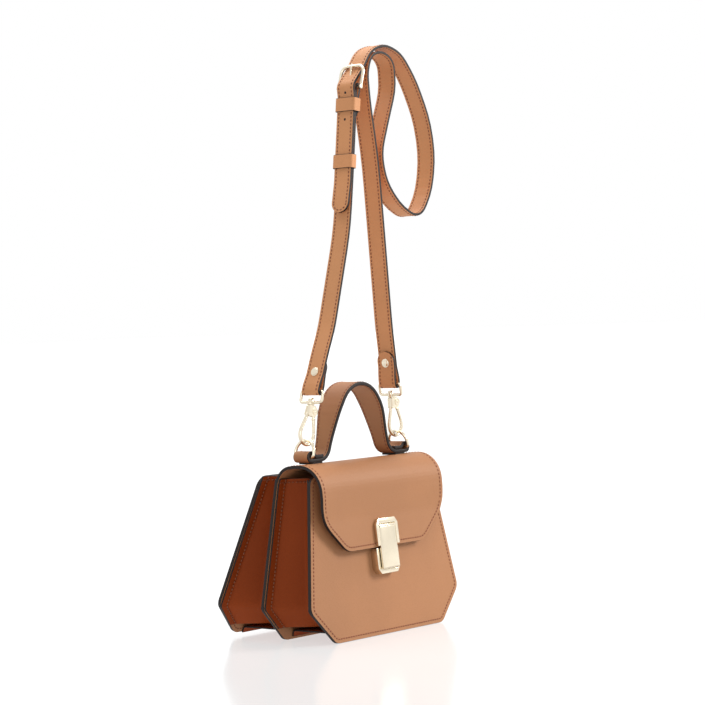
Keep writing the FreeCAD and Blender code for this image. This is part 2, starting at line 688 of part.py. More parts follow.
def fold_points(bar, bar_radius, lean, tab_side, close):
    """Points of a strap end folded round a bar: from the strap, round, to the tab's end.

    lean is the way the strap leaves the bar, in degrees from +Z towards +X, and close is how far
    from the bar its two layers come together.
    """
    centre = Vector(bar[0], bar[1], 0)
    along = Vector(math.sin(math.radians(lean)), math.cos(math.radians(lean)), 0)
    across = left_of(along) * tab_side
    wide = bar_radius + FOLD
    spread = close * FOLD_SPREAD
    spots = [(END_TAB_LENGTH + TAB_MARGIN, -LAYER), (close, -LAYER), (spread, -wide), (-wide, -wide), (-wide, wide),
             (spread, wide), (close, LAYER), (END_TAB_LENGTH, LAYER)]
    points = []
    for up, out in spots:
        spot = centre + along * up + across * out
        points.append((spot.x, spot.y))
    easy = [FOLD_EASE * close, FOLD_EASE * close]
    bends = easy + [wide, wide] + easy
    return points, bends


EYE_BARS = {side: hook_point(0, EYE_TOP_Z, side) for side in ("left", "right")}


def from_point(point, offsets):
    """Points of the limp strap, given from a fitting that holds it."""
    return [(point[0] + x, point[1] + z) for x, z in offsets]


LEFT_LEG = from_point(EYE_BARS["left"], [(21.56, 52.5)]) + from_point(BUCKLE_BAR, [(-18.2, -123.5)])
RIGHT_LEG = (from_point(EYE_BARS["right"], [(-4.9, 51.58)]) +
             from_point(BUCKLE_BAR, [(28.3, -116.5), (24.3, -60.5), (16.4, -13.5)]))
INNER_LOOP = from_point(BUCKLE_BAR, [(14.3, 13.5), (20.8, 29.0), (35.8, 32.9), (51.3, 25.5), (52.8, 1.5),
                                     (39.8, -29.5), (29.3, -56.5), (35.3, -81.5), (54.8, -102.5)])
OUTER_LOOP = from_point(BUCKLE_BAR, [(80.8, -113.0), (98.8, -89.5), (105.8, -57.5), (100.3, -24.5),
                                     (81.8, 10.5), (61.8, 33.0), (38.8, 39.0), (20.3, 32.5)])
TONGUE_TIP = from_point(BUCKLE_BAR, [(-20.2, -108.0)])


def strap_prism(face):
    return prism_xz(face, HANDLE_Y - STRAP_WIDTH / 2, HANDLE_Y + STRAP_WIDTH / 2)


def strap_end_cutter(start, end):
    """A block round a strap's end with the round-ended outline taken out of it."""
    tip = Vector(end.x, 0, end.y)
    way = unit(tip - Vector(start.x, 0, start.y))
    normal = Vector(-way.z, 0, way.x)
    centre = tip - way * TIP_RADIUS
    deep = STRAP_THICKNESS + LAYER_GAP
    keep = Part.makeCylinder(STRAP_WIDTH / 2, deep, centre - normal * deep / 2 + Vector(0, HANDLE_Y, 0), normal)
    corners = []
    for up, across in ((0, -1), (1, -1), (1, 1), (0, 1)):
        corners.append(centre + way * up * (TIP_RADIUS + 1) + Vector(0, HANDLE_Y + across * STRAP_WIDTH, 0)
                       - normal * deep / 2)
    block = Part.Face(Part.makePolygon(corners + corners[:1])).extrude(normal * deep)
    return block.cut(keep)


def rivet_frame(side):
    """Where an end rivet goes: a point between the layers and the way out of them."""
    bar = EYE_BARS[side]
    lean = math.radians(END_LEAN[side])
    along = Vector(math.sin(lean), 0, math.cos(lean))
    outward = Vector(-along.z, 0, along.x)
    centre = Vector(bar[0], HANDLE_Y, bar[1]) + along * RIVET_HEIGHT
    return centre, outward


def strap_rivet(side):
    """A double-cap rivet through both layers of a strap end."""
    centre, outward = rivet_frame(side)
    reach = 2 * LAYER - LAYER_GAP / 2
    shank = Part.makeCylinder(RIVET_SHANK, 2 * reach, centre - outward * reach, outward)
    caps = []
    for way in (1, -1):
        cap = Part.makeCylinder(RIVET_RADIUS, RIVET_HEAD, centre + outward * way * reach, outward * way)
        rim = [edge for edge in cap.Edges if edge.BoundBox.Center.distanceToPoint(centre) > reach + RIVET_HEAD / 2]
        circles = [edge for edge in rim if edge.Closed and len(edge.Vertexes) == 1]
        caps.append(cap.makeFillet(RIVET_HEAD * 0.6, circles[:1]))
    return join(shank, *caps)


def rivet_hole(side):
    centre, outward = rivet_frame(side)
    return Part.makeCylinder(RIVET_SHANK, 20, centre - outward * 10, outward)


def stack_point(down, out):
    """A point below the buckle's bar along its strap, and out from the fold's middle."""
    lean = math.radians(STACK_LEAN)
    return (BUCKLE_BAR[0] - down * math.sin(lean) - out * math.cos(lean),
            BUCKLE_BAR[1] - down * math.cos(lean) + out * math.sin(lean))


def under_frame():
    """Where the tongue passes beneath the top of the buckle's frame."""
    lean = math.radians(BUCKLE_LEAN)
    inside = BUCKLE_WIRE / 2 + STRAP_THICKNESS / 2 + 4 * WIRE_FIT
    return (BUCKLE_BAR[0] + BUCKLE_REACH * math.sin(lean) + inside * math.cos(lean),
            BUCKLE_BAR[1] + BUCKLE_REACH * math.cos(lean) - inside * math.sin(lean))


def tongue_points():
    """The tongue's middle line from the buckle's frame down to its tip."""
    over_fold = BUCKLE_BAR_RADIUS + FOLD + STRAP_THICKNESS + 5 * WIRE_FIT
    return [under_frame(), stack_point(-BUCKLE_BAR_RADIUS, over_fold), stack_point(BUCKLE_FOLD_CLOSE, 3 * LAYER),
            stack_point(STACK_LENGTH, 3 * LAYER)] + TONGUE_TIP


def strap_short_path():
    """The short strap's middle line from the left hook's tab up to the buckle's tab."""
    low, low_bends = fold_points(EYE_BARS["left"], EYE_WIRE / 2, END_LEAN["left"], -1, EYE_FOLD_CLOSE)
    high, high_bends = fold_points(BUCKLE_BAR, BUCKLE_BAR_RADIUS, 180 + STACK_LEAN, 1, BUCKLE_FOLD_CLOSE)
    low.reverse()
    low_bends.reverse()
    foot = stack_point(STACK_LENGTH, LAYER)
    free = [low[-1]] + LEFT_LEG + [foot]
    bends = low_bends + soft_radii([low[-2]] + free + [high[1]]) + high_bends
    return runs(low[:-1] + free + high[1:], bends)


def strap_long_path():
    """The long strap's middle line from the right hook's tab round to the tongue's tip."""
    low, low_bends = fold_points(EYE_BARS["right"], EYE_WIRE / 2, END_LEAN["right"], 1, EYE_FOLD_CLOSE)
    low.reverse()
    low_bends.reverse()
    free = RIGHT_LEG + INNER_LOOP + OUTER_LOOP
    tongue = tongue_points()
    bends = low_bends + soft_radii(low[-2:] + free + tongue[:1])
    return runs(low + free + tongue, bends + TONGUE_BENDS)


def leather_strap(pieces):
    """A flat strap along a path, with both ends rounded."""
    body = strap_prism(band(pieces, -STRAP_THICKNESS / 2, STRAP_THICKNESS / 2))
    first, last = pieces[0], pieces[-1]
    body = body.cut(strap_end_cutter(first[2], first[1]))
    return body.cut(strap_end_cutter(last[1], last[2]))


def strap_short():
    body = leather_strap(strap_short_path())
    bar_x, bar_z = BUCKLE_BAR
    half = PRONG_RADIUS + 2 * WIRE_FIT
    fold = BUCKLE_BAR_RADIUS + 2 * FOLD
    slot = box(bar_x - 2 * fold, bar_x + 2 * fold, HANDLE_Y - half, HANDLE_Y + half,
               bar_z - 1.5 * fold, bar_z + 2 * fold)
    return body.cut(slot).cut(rivet_hole("left"))


def strap_hole(down, out):
    """A round hole through the tongue, square to it."""
    x, z = stack_point(down, out)
    centre = Vector(x, HANDLE_Y, z)
    x, z = stack_point(down, out + STRAP_THICKNESS)
    way = unit(Vector(x, HANDLE_Y, z) - centre)
    deep = 0.8 * STRAP_THICKNESS
    return Part.makeCylinder(STRAP_HOLE_RADIUS, 2 * deep, centre - way * deep, way)


def strap_long():
    body = leather_strap(strap_long_path())
    body = body.cut(prong_slot()).cut(rivet_hole("right"))
    for count in (1, 2):
        body = body.cut(strap_hole(STRAP_HOLE_START + count * STRAP_HOLE_PITCH, 3 * LAYER))
    return body


# ---- buckle and keepers ------------------------------------------------------------------

BUCKLE_HALF = STRAP_WIDTH / 2 + BUCKLE_SIDE_GAP + BUCKLE_WIRE / 2


def buckle_place(shape):
    """From a drawing with the bar at the origin and the frame standing up to the strap."""
    leant = placed(shape, (0, 0, 0), (0, 1, 0), BUCKLE_LEAN)
    return placed(leant, (BUCKLE_BAR[0], HANDLE_Y, BUCKLE_BAR[1]))


def buckle_frame():
    """A horseshoe frame on a straight bar with swollen ends."""
    half = [(BUCKLE_HALF, 0), (BUCKLE_HALF, BUCKLE_REACH), (0, BUCKLE_REACH)]
    arc = wire_rod(half, [BUCKLE_CORNER], BUCKLE_WIRE / 2)
    arc = placed(join(arc, mirrored(arc, (1, 0, 0))), (0, 0, 0), (1, 1, 1), 120)
    bar = rod((0, -BUCKLE_HALF, 0), (0, BUCKLE_HALF, 0), BUCKLE_BAR_RADIUS)
    end = BUCKLE_WIRE / 2 + BUCKLE_KNOB
    knobs = [rod((0, s * BUCKLE_HALF - end, 0), (0, s * BUCKLE_HALF + end, 0), end) for s in (-1, 1)]
    return buckle_place(join(arc, bar, *knobs))


def prong_lean():
    """How far the prong leans out from the frame to lie on its top."""
    rise = BUCKLE_WIRE / 2 + PRONG_RADIUS + FACE_GAP
    return math.degrees(math.atan2(rise, BUCKLE_REACH))


def prong_line(extra, lift=0.0):
    straight = rod((0, 0, 0), (0, 0, BUCKLE_REACH + BUCKLE_WIRE / 2), PRONG_RADIUS + extra)
    return buckle_place(placed(straight, (0, 0, 0), (0, 1, 0), -prong_lean() - lift))


def buckle_prong():
    half = PRONG_RADIUS + WIRE_FIT
    eye = rod((0, -half, 0), (0, half, 0), BUCKLE_BAR_RADIUS + PRONG_RADIUS)
    bore = rod((0, -2 * half, 0), (0, 2 * half, 0), BUCKLE_BAR_RADIUS + RUN_FIT)
    return join(prong_line(0), buckle_place(eye)).cut(buckle_place(bore))


def prong_slot():
    """The hole that the prong comes through, stretched along the strap by its lift."""
    steps = [PRONG_LIFT * share for share in (0, 0.25, 0.5, 0.75, 1)]
    return join(*[prong_line(2 * WIRE_FIT, lift) for lift in steps])


def keeper(down, layers):
    """A leather band round some of the strap's layers, standing square to them."""
    thick = layers * STRAP_THICKNESS + (layers - 1) * LAYER_GAP + 2 * KEEPER_FIT
    wide = STRAP_WIDTH + 2 * KEEPER_FIT
    wall = KEEPER_THICKNESS
    outer = box(-thick / 2 - wall, thick / 2 + wall, -wide / 2 - wall, wide / 2 + wall,
                -KEEPER_HEIGHT / 2, KEEPER_HEIGHT / 2)
    upright = [edge for edge in outer.Edges if edge.BoundBox.ZLength > KEEPER_HEIGHT - DETAIL]
    outer = outer.makeFillet(wall * 0.9, upright)
    inner = box(-thick / 2, thick / 2, -wide / 2, wide / 2, -KEEPER_HEIGHT, KEEPER_HEIGHT)
    ring = placed(outer.cut(inner), (0, 0, 0), (0, 1, 0), STACK_LEAN)
    x, z = stack_point(down, (4 - layers) * LAYER)
    return placed(ring, (x, HANDLE_Y, z))


# ---- lock ----------------------------------------------------------------------------------

LOCK_HALF = LOCK_WIDTH / 2
CHANNEL_HALF = LOCK_HALF - LOCK_BORDER
PLATE_FACE = FLAP_STANDOFF + PLATE_THICKNESS
LEVER_HEAD_RADIUS = LEVER_THICKNESS / 2
LEVER_PIN_DEPTH = PLATE_FACE + LEVER_OUT - LEVER_HEAD_RADIUS
LEVER_PIN_UP = along_front(LEVER_TOP_Z) - LEVER_HEAD_RADIUS
CHANNEL_FLOOR = LEVER_PIN_DEPTH - LEVER_HEAD_RADIUS - LEVER_HEAD_GAP
TONGUE_LOW = along_front(TONGUE_Z)
POCKET_HALF = TONGUE_WIDTH / 2 + POCKET_MARGIN


def pin_rod(half, radius):
    """A round bar on the lever's pin line, in the front panel's plane."""
    return rod((-half, -LEVER_PIN_DEPTH, LEVER_PIN_UP), (half, -LEVER_PIN_DEPTH, LEVER_PIN_UP), radius)


def lock_flap_plate():
    """A plate with cut upper corners, a channel for the lever and borders for its pin."""
    low, high = PLATE_LOW, PLATE_HIGH
    cut_x, cut_up = LOCK_HALF - LOCK_CUT_WIDTH, high - LOCK_CUT_HEIGHT
    points = [(LOCK_HALF, low), (LOCK_HALF, cut_up), (cut_x, high), (-cut_x, high), (-LOCK_HALF, cut_up),
              (-LOCK_HALF, low)]
    plate = prism_xz(outline(points, [LOCK_EDGE] * len(points)), -PLATE_FACE, -FLAP_STANDOFF)
    channel_top = LEVER_PIN_UP + LEVER_HEAD_RADIUS + LEVER_HEAD_GAP
    channel = box(-CHANNEL_HALF, CHANNEL_HALF, -2 * PLATE_FACE, -CHANNEL_FLOOR, low - 1, channel_top)
    plate = front_plane(plate.cut(channel).cut(pin_rod(LOCK_HALF, LEVER_PIN_RADIUS)))
    for hole in screw_rods(PLATE_SCREW, -PLATE_FACE, 0, SCREW_RADIUS):
        plate = plate.cut(hole)
    return plate


def lock_hinge_pin():
    return front_plane(pin_rod(LOCK_HALF, LEVER_PIN_RADIUS))


def lock_lever():
    """A bevelled plate on the pin, with a tongue that drops into the housing's pocket."""
    half = CHANNEL_HALF - LEVER_SIDE_GAP
    front = -LEVER_PIN_DEPTH - LEVER_HEAD_RADIUS
    back = front + LEVER_THICKNESS
    low = along_front(LEVER_BOTTOM_Z)
    plate = box(-half, half, front, back, low, LEVER_PIN_UP)
    rim = [edge for edge in plate.Edges if edge.BoundBox.YMax < front + DETAIL and
           edge.BoundBox.ZMin < LEVER_PIN_UP - DETAIL]
    plate = plate.makeChamfer(LOCK_EDGE, rim)
    tongue = box(-TONGUE_WIDTH / 2, TONGUE_WIDTH / 2, back - 1, back + TONGUE_LENGTH,
                 TONGUE_LOW, TONGUE_LOW + TONGUE_HEIGHT)
    lever = join(plate, pin_rod(half, LEVER_HEAD_RADIUS), tongue)
    return front_plane(lever.cut(pin_rod(half, LEVER_PIN_RADIUS + RUN_FIT)))


def lock_housing():
    """A deep block with cut lower corners, a shallow channel and the tongue's pocket."""
    low, high = HOUSING_LOW, HOUSING_HIGH
    cut_x, cut_up = LOCK_HALF - LOCK_CUT_WIDTH, low + LOCK_CUT_HEIGHT
    points = [(cut_x, low), (LOCK_HALF, cut_up), (LOCK_HALF, high), (-LOCK_HALF, high), (-LOCK_HALF, cut_up),
              (-cut_x, low)]
    block = prism_xz(outline(points, [LOCK_EDGE] * len(points)), -HOUSING_DEPTH, 0)
    lever_foot = along_front(LEVER_BOTTOM_Z) - 2 * LEVER_SIDE_GAP
    channel = box(-CHANNEL_HALF, CHANNEL_HALF, -2 * HOUSING_DEPTH, HOUSING_RECESS - HOUSING_DEPTH,
                  lever_foot, high + 1)
    pocket = box(-POCKET_HALF, POCKET_HALF, -2 * HOUSING_DEPTH, POCKET_DEPTH - HOUSING_DEPTH,
                 TONGUE_LOW - POCKET_MARGIN - 2 * CATCH_RADIUS, TONGUE_LOW + TONGUE_HEIGHT + POCKET_HEADROOM)
    block = front_plane(block.cut(channel).cut(pocket))
    for hole in screw_rods(HOUSING_SCREW, -HOUSING_DEPTH / 2, 1, SCREW_RADIUS):
        block = block.cut(hole)
    return block


def lock_catch():
    """A bar across the pocket that the tongue passes over."""
    up = TONGUE_LOW - POCKET_MARGIN - CATCH_RADIUS
    y = HOUSING_RECESS + CATCH_RADIUS - HOUSING_DEPTH
    return front_plane(rod((-POCKET_HALF, y, up), (POCKET_HALF, y, up), CATCH_RADIUS))


def backplate(up, y):
    """A washer plate behind a leather, seated at y in the front panel's plane."""
    half = LOCK_HALF - BACKPLATE_MARGIN / 2
    points = [(half, up - BACKPLATE_MARGIN), (half, up + BACKPLATE_MARGIN), (-half, up + BACKPLATE_MARGIN),
              (-half, up - BACKPLATE_MARGIN)]
    face = outline(points, [BACKPLATE_MARGIN / 2] * len(points))
    plate = front_plane(prism_xz(face, y, y + BACKPLATE_THICKNESS))
    for hole in screw_rods(up, y - 1, y + BACKPLATE_THICKNESS + 1, SCREW_RADIUS):
        plate = plate.cut(hole)
    return plate


def screws(up, y_front, y_back):
    """Two screws from behind: shanks forward, heads on the backing plate."""
    shanks = screw_rods(up, y_front, y_back, SCREW_RADIUS)
    heads = screw_rods(up, y_back, y_back + SCREW_HEAD, SCREW_HEAD_RADIUS)
    return Part.makeCompound([join(shank, head) for shank, head in zip(shanks, heads)])


# ---- everything, one file for each node ---------------------------------------------------

def front_panel():
    plate = panel(FRONT_Y, FRONT_LEAN, 1)
    for hole in screw_rods(HOUSING_SCREW, -1, 2 * PANEL_THICKNESS, SCREW_RADIUS + RUN_FIT):
        plate = plate.cut(hole)
    return plate


def back_panel():
    return placed(panel(BACK_Y, BACK_LEAN, -1), (0, 0, BACK_PANEL_RAISE))


FLAP_BACK = FLAP_THICKNESS - FLAP_STANDOFF


def build():
    leather_flap = flap()
    nodes = {
        "front_panel": front_panel(),
        "divider_panel": divider_panel(),
        "back_panel": back_panel(),
        "flap": leather_flap,
        "handle": handle(leather_flap),
        "strap_long": strap_long(),
        "strap_short": strap_short(),
        "strap_keeper_fixed": keeper(FIXED_KEEPER_DOWN, 3),
        "strap_keeper_sliding": keeper(SLIDING_KEEPER_DOWN, 2),
        "buckle_frame": buckle_frame(),
        "buckle_prong": buckle_prong(),
        "lock_flap_plate": lock_flap_plate(),
        "lock_flap_backplate": backplate(PLATE_SCREW, FLAP_BACK),
        "lock_flap_screws": screws(PLATE_SCREW, -CHANNEL_FLOOR, FLAP_BACK + BACKPLATE_THICKNESS),
        "lock_lever": lock_lever(),
        "lock_hinge_pin": lock_hinge_pin(),
        "lock_housing": lock_housing(),
        "lock_catch": lock_catch(),
        "lock_panel_backplate": backplate(HOUSING_SCREW, PANEL_THICKNESS),
        "lock_panel_screws": screws(HOUSING_SCREW, -HOUSING_DEPTH / 2, PANEL_THICKNESS + BACKPLATE_THICKNESS),
    }
    compartments = {"front": (front_inner_y, divider_front_y), "rear": (divider_back_y, back_inner_y)}
    for name, (front_at, back_at) in compartments.items():
        gusset = side_gusset(front_at, back_at)
        nodes[name + "_gusset_right"] = gusset
        nodes[name + "_gusset_left"] = mirrored(gusset, (1, 0, 0))
        nodes[name + "_gusset_bottom"] = bottom_gusset(front_at, back_at)
    for side in ("left", "right"):
        nodes["d_ring_" + side] = d_ring(side)
        nodes["hook_eye_" + side] = hook_eye(side)
        nodes["hook_body_" + side] = hook_body(side)
        nodes["hook_gate_" + side] = hook_gate(side)
        nodes["hook_gate_pin_" + side] = gate_pin(side)
        nodes["strap_rivet_" + side] = strap_rivet(side)
    return nodes


os.makedirs("parts", exist_ok=True)
for node, shape in build().items():
    shape.exportStep(os.path.join("parts", node + ".step"))
    print(node, len(shape.Solids), round(shape.Volume, 1), shape.isValid(), shape.BoundBox)
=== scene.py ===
import math

import bmesh
import bpy
from mathutils import Matrix, Vector


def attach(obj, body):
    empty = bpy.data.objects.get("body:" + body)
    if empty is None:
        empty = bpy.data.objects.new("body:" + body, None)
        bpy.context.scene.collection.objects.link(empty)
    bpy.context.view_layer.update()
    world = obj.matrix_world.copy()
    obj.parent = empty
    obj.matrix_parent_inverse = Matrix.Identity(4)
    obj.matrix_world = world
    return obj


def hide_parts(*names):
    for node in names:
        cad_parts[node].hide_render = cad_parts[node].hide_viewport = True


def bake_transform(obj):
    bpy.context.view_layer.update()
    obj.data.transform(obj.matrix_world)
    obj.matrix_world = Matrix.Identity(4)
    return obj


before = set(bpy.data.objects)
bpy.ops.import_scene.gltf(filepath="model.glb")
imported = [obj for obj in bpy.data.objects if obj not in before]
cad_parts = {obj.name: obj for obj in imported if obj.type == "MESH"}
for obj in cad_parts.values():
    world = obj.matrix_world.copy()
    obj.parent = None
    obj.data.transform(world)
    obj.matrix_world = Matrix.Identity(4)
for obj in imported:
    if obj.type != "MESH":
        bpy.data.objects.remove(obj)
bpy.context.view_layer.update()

bl_info = {
    "name": "Structured sling bag",
    "version": (1, 0, 0),
    "blender": (4, 5, 0),
    "location": "View3D > Sidebar > Sling bag",
    "description": "Dresses a leather sling bag with its stitched panels, handle, straps and fittings",
    "category": "Object",
}

MM = 0.001
SIDES = {"left": -1, "right": 1}

# The bag's cut patterns and paths, in millimetres
PANEL = [(72.5, 0.0), (100.0, 29.0), (81.0, 140.0), (-81.0, 140.0), (-100.0, 29.0), (-72.5, 0.0)]
BACK_PANEL = [(72.5, 0.0), (100.0, 29.0), (80.4, 143.0), (-80.4, 143.0), (-100.0, 29.0), (-72.5, 0.0)]
FLAP_PATTERN = [(52.5, 74.5), (81.5, 101.5), (81.0, 400.0), (-81.0, 400.0), (-81.5, 101.5), (-52.5, 74.5)]
PANEL_CORNER = 10.0
FLAP_CORNERS = [17.0, 30.0, 0.0, 0.0, 30.0, 17.0]
FRONT = {"y": -59.0, "lean": 6.1, "raise": 0.0, "thick": 3.0, "into": 1}
DIVIDER = {"y": 0.8, "lean": -2.8, "raise": 0.0, "thick": 2.6, "into": -1}
BACK = {"y": 59.0, "lean": -18.6, "raise": 3.0, "thick": 3.0, "into": -1}
FLAP_STANDOFF = 6.5
FLAP_CURL = 2.6
CURL_FADE = 30.0
SHOULDER_Z = 102.0
ARCH_FRONT_Y = -55.6
ARCH_START_Z = 131.3
ARCH_BEND_WIDE = 29.0
ARCH_BACK_Z = 147.1
ARCH_FRONT_Z = 150.3
COVER_BENDS = [17.0, 22.0, 50.0]
HINGE_Z = 139.0
HANDLE_Y = -24.0


# ---- paths --------------------------------------------------------------------

def unit(vector):
    return Vector(vector).normalized()


def left_of(vector):
    return Vector((-vector[1], vector[0]))


def rounded(points, radii, step=1.5):
    """Closely spaced points along straight runs with tangent arcs at their corners."""
    corners = [Vector(p) for p in points]
    line = [corners[0]]
    for before, corner, after, radius in zip(corners, corners[1:], corners[2:], radii):
        way_in, way_out = unit(corner - before), unit(after - corner)
        turn = way_in.angle(way_out)
        if turn < 1e-4 or radius <= 0:
            line.append(corner)
            continue
        side = 1 if way_in[0] * way_out[1] - way_in[1] * way_out[0] > 0 else -1
        start = corner - way_in * radius * math.tan(turn / 2)
        centre = start + left_of(way_in) * radius * side
        count = max(3, int(math.ceil(turn / math.radians(9))))
        for i in range(count + 1):
            spoke = start - centre
            spoke.rotate(Matrix.Rotation(side * turn * i / count, 2))
            line.append(centre + spoke)
    line.append(corners[-1])
    return respaced(line, step)


def respaced(line, step):
    """A polyline's own points, with long runs divided so that no gap is wider than the step."""
    points = [line[0]]
    for start, end in zip(line, line[1:]):
        gap = (end - start).length
        if gap < 1e-6:
            continue
        parts = max(1, int(math.ceil(gap / step)))
        points.extend(start.lerp(end, i / parts) for i in range(1, parts + 1))
    return points


def easy_radii(points):
    """The largest easy bend at each inner point of a limp strap."""
    radii = []
    for before, corner, after in zip(points, points[1:], points[2:]):
        way_in, way_out = Vector(corner) - Vector(before), Vector(after) - Vector(corner)
        reach = 0.45 * min(way_in.length, way_out.length)
        radii.append(reach / math.tan(way_in.angle(way_out) / 2))
    return radii


class Path:
    """A line with lengths along it, and a point, a heading and a left side at each length."""

    def __init__(self, points):
        self.points = points
        self.lengths = [0.0]
        for start, end in zip(points, points[1:]):
            self.lengths.append(self.lengths[-1] + (end - start).length)
        self.length = self.lengths[-1]

    def at(self, length):
        length = min(max(length, 0.0), self.length)
        low, high = 0, len(self.lengths) - 1
        while high - low > 1:
            middle = (low + high) // 2
            if self.lengths[middle] <= length:
                low = middle
            else:
                high = middle
        span = self.lengths[high] - self.lengths[low]
        return self.points[low].lerp(self.points[high], (length - self.lengths[low]) / span)

    def side(self, length, reach=0.6):
        """The left side, averaged over a short reach so that it turns smoothly."""
        way = self.at(length + reach) - self.at(length - reach)
        return left_of(unit(way))

    def stations(self, step):
        count = int(math.ceil(self.length / step))
        return [self.length * i / count for i in range(count + 1)]


# ---- meshes -------------------------------------------------------------------

def piece_from(bm, name, materials, smooth=True):
    """A finished bmesh, drawn in millimetres, as an object in the row's frame."""
    bmesh.ops.scale(bm, vec=(MM, MM, MM), verts=bm.verts)
    mesh = bpy.data.meshes.new(name)
    bm.to_mesh(mesh)
    bm.free()
    if smooth:
        mesh.shade_smooth()
    for material in materials:
        mesh.materials.append(material)
    piece = bpy.data.objects.new(name, mesh)
    bpy.context.scene.collection.objects.link(piece)
    return piece


def add_modifier(piece, kind, **settings):
    modifier = piece.modifiers.new(kind.title(), kind)
    for key, value in settings.items():
        setattr(modifier, key, value)
    return modifier


def thickened(piece, thickness, offset, rim=1, bevel=0.55):
    """Gives a leather sheet its thickness, a painted rim and rounded painted corners."""
    add_modifier(piece, "SOLIDIFY", thickness=thickness * MM, offset=offset, use_even_offset=True,
                 material_offset_rim=rim)
    add_modifier(piece, "BEVEL", width=bevel * MM, segments=3, limit_method="ANGLE",
                 angle_limit=math.radians(50), material=rim, harden_normals=True)
    return piece


def grid_sheet(columns, rows, place):
    """A grid whose vertices go where place(u, v) says, with u and v from 0 to 1."""
    bm = bmesh.new()
    bm.loops.layers.uv.new("sheet")
    bmesh.ops.create_grid(bm, x_segments=columns, y_segments=rows, size=0.5, calc_uvs=True)
    for vert in bm.verts:
        vert.co = place(vert.co.x + 0.5, vert.co.y + 0.5)
    return bm


def corner_rounded(pattern, radius):
    """A closed convex pattern with rounded corners."""
    middle = (Vector(pattern[0]) + Vector(pattern[-1])) / 2
    loop = [middle] + [Vector(p) for p in pattern] + [middle]
    radii = radius if isinstance(radius, list) else [radius] * len(pattern)
    return rounded(loop, radii, step=1000.0)


def tube(bm, stations, segments=14, closed=False):
    """A round bar swept through stations of (centre, side, up, half width, half height)."""
    rings = []
    for centre, side, up, half_width, half_height in stations:
        if not rings:
            made = bmesh.ops.create_circle(bm, segments=segments, radius=1.0, cap_ends=False)
            ring = made["verts"]
            angles = [math.atan2(v.co.y, v.co.x) for v in ring]
            edges = list({edge for vert in ring for edge in vert.link_edges})
        else:
            made = bmesh.ops.extrude_edge_only(bm, edges=edges)["geom"]
            edges = [item for item in made if isinstance(item, bmesh.types.BMEdge)
                     and all(v in made for v in item.verts)]
            new = [item for item in made if isinstance(item, bmesh.types.BMVert)]
            partner = {}
            for vert in new:
                for edge in vert.link_edges:
                    other = edge.other_vert(vert)
                    if other in rings[-1]:
                        partner[rings[-1].index(other)] = vert
            ring = [partner[i] for i in range(segments)]
        for vert, angle in zip(ring, angles):
            vert.co = centre + side * math.cos(angle) * half_width + up * math.sin(angle) * half_height
        rings.append(ring)
    ends = [[e for v in ring for e in v.link_edges if e.other_vert(v) in ring]
            for ring in (rings[0], rings[-1])]
    if closed:
        bmesh.ops.bridge_loops(bm, edges=list(set(ends[0] + ends[1])))
    else:
        for end in ends:
            bmesh.ops.contextual_create(bm, geom=list(set(end)))
    return bm


def wire_stations(points, radius, across, closed=False):
    """Stations for a bar through 3-D points; across is a steady direction square to its plane."""
    stations = []
    count = len(points)
    for i, point in enumerate(points):
        before = points[(i - 1) % count] if closed else points[max(i - 1, 0)]
        after = points[(i + 1) % count] if closed else points[min(i + 1, count - 1)]
        way = unit(after - before)
        size = radius(i / (count - 1)) if callable(radius) else (radius, radius)
        stations.append((point, unit(across.cross(way)), across, size[0], size[1]))
    return stations


def finish_mesh(bm, bevel=0.0, angle=35.0, segments=3):
    """Merges doubles, points the faces outwards and rounds the sharp edges."""
    bmesh.ops.remove_doubles(bm, verts=bm.verts, dist=1e-4)
    bmesh.ops.recalc_face_normals(bm, faces=bm.faces)
    if bevel > 0:
        sharp = [e for e in bm.edges
                 if len(e.link_faces) == 2 and e.calc_face_angle(0.0) > math.radians(angle)]
        bmesh.ops.bevel(bm, geom=sharp, offset=bevel, offset_type="OFFSET", segments=segments, profile=0.5,
                        affect="EDGES", clamp_overlap=True, material=-1)
    return bm


def slab(bm, pattern, low, high, radius=0.0):
    """A flat plate from a pattern drawn as (x, z), between two depths along Y."""
    loop = corner_rounded(pattern, radius)[:-1] if radius else [Vector(p) for p in pattern]
    seen = []
    for point in loop:
        if not seen or (point - seen[-1]).length > 1e-4:
            seen.append(point)
    if (seen[0] - seen[-1]).length < 1e-4:
        seen.pop()
    verts = [bm.verts.new((p[0], low, p[1])) for p in seen]
    face = bm.faces.new(verts)
    made = bmesh.ops.extrude_face_region(bm, geom=[face])["geom"]
    moved = [item for item in made if isinstance(item, bmesh.types.BMVert)]
    bmesh.ops.translate(bm, verts=moved, vec=(0.0, high - low, 0.0))
    return verts + moved


def cylinder(bm, start, end, radius, segments=28, taper=1.0):
    start, end = Vector(start), Vector(end)
    way = end - start
    turn = way.to_track_quat("Z", "Y").to_matrix().to_4x4()
    place = Matrix.Translation((start + end) / 2) @ turn
    made = bmesh.ops.create_cone(bm, cap_ends=True, segments=segments, radius1=radius, radius2=radius * taper,
                                 depth=way.length, matrix=place)
    return made["verts"]


# ---- stitches -----------------------------------------------------------------

STITCH_PITCH = 3.2
STITCH_LENGTH = 2.2
STITCH_WIDTH = 1.05
STITCH_STAND = 0.7
STRAP_STITCH_STAND = 0.6
ROW_INSET = 3.3
STRAP_ROW_INSET = 2.1


def add_stitch(bm, spot, way, normal, depth):
    """One sewn stitch that goes through a leather and stands a little proud on both faces."""
    way, normal = unit(way), unit(normal)
    turn = Matrix((way, normal.cross(way), normal)).transposed().to_4x4()
    size = Matrix.Diagonal((STITCH_LENGTH / 2, STITCH_WIDTH / 2, depth / 2, 1.0))
    bmesh.ops.create_cone(bm, cap_ends=True, segments=8, radius1=1.0, radius2=1.0, depth=2.0,
                          matrix=Matrix.Translation(spot) @ turn @ size)


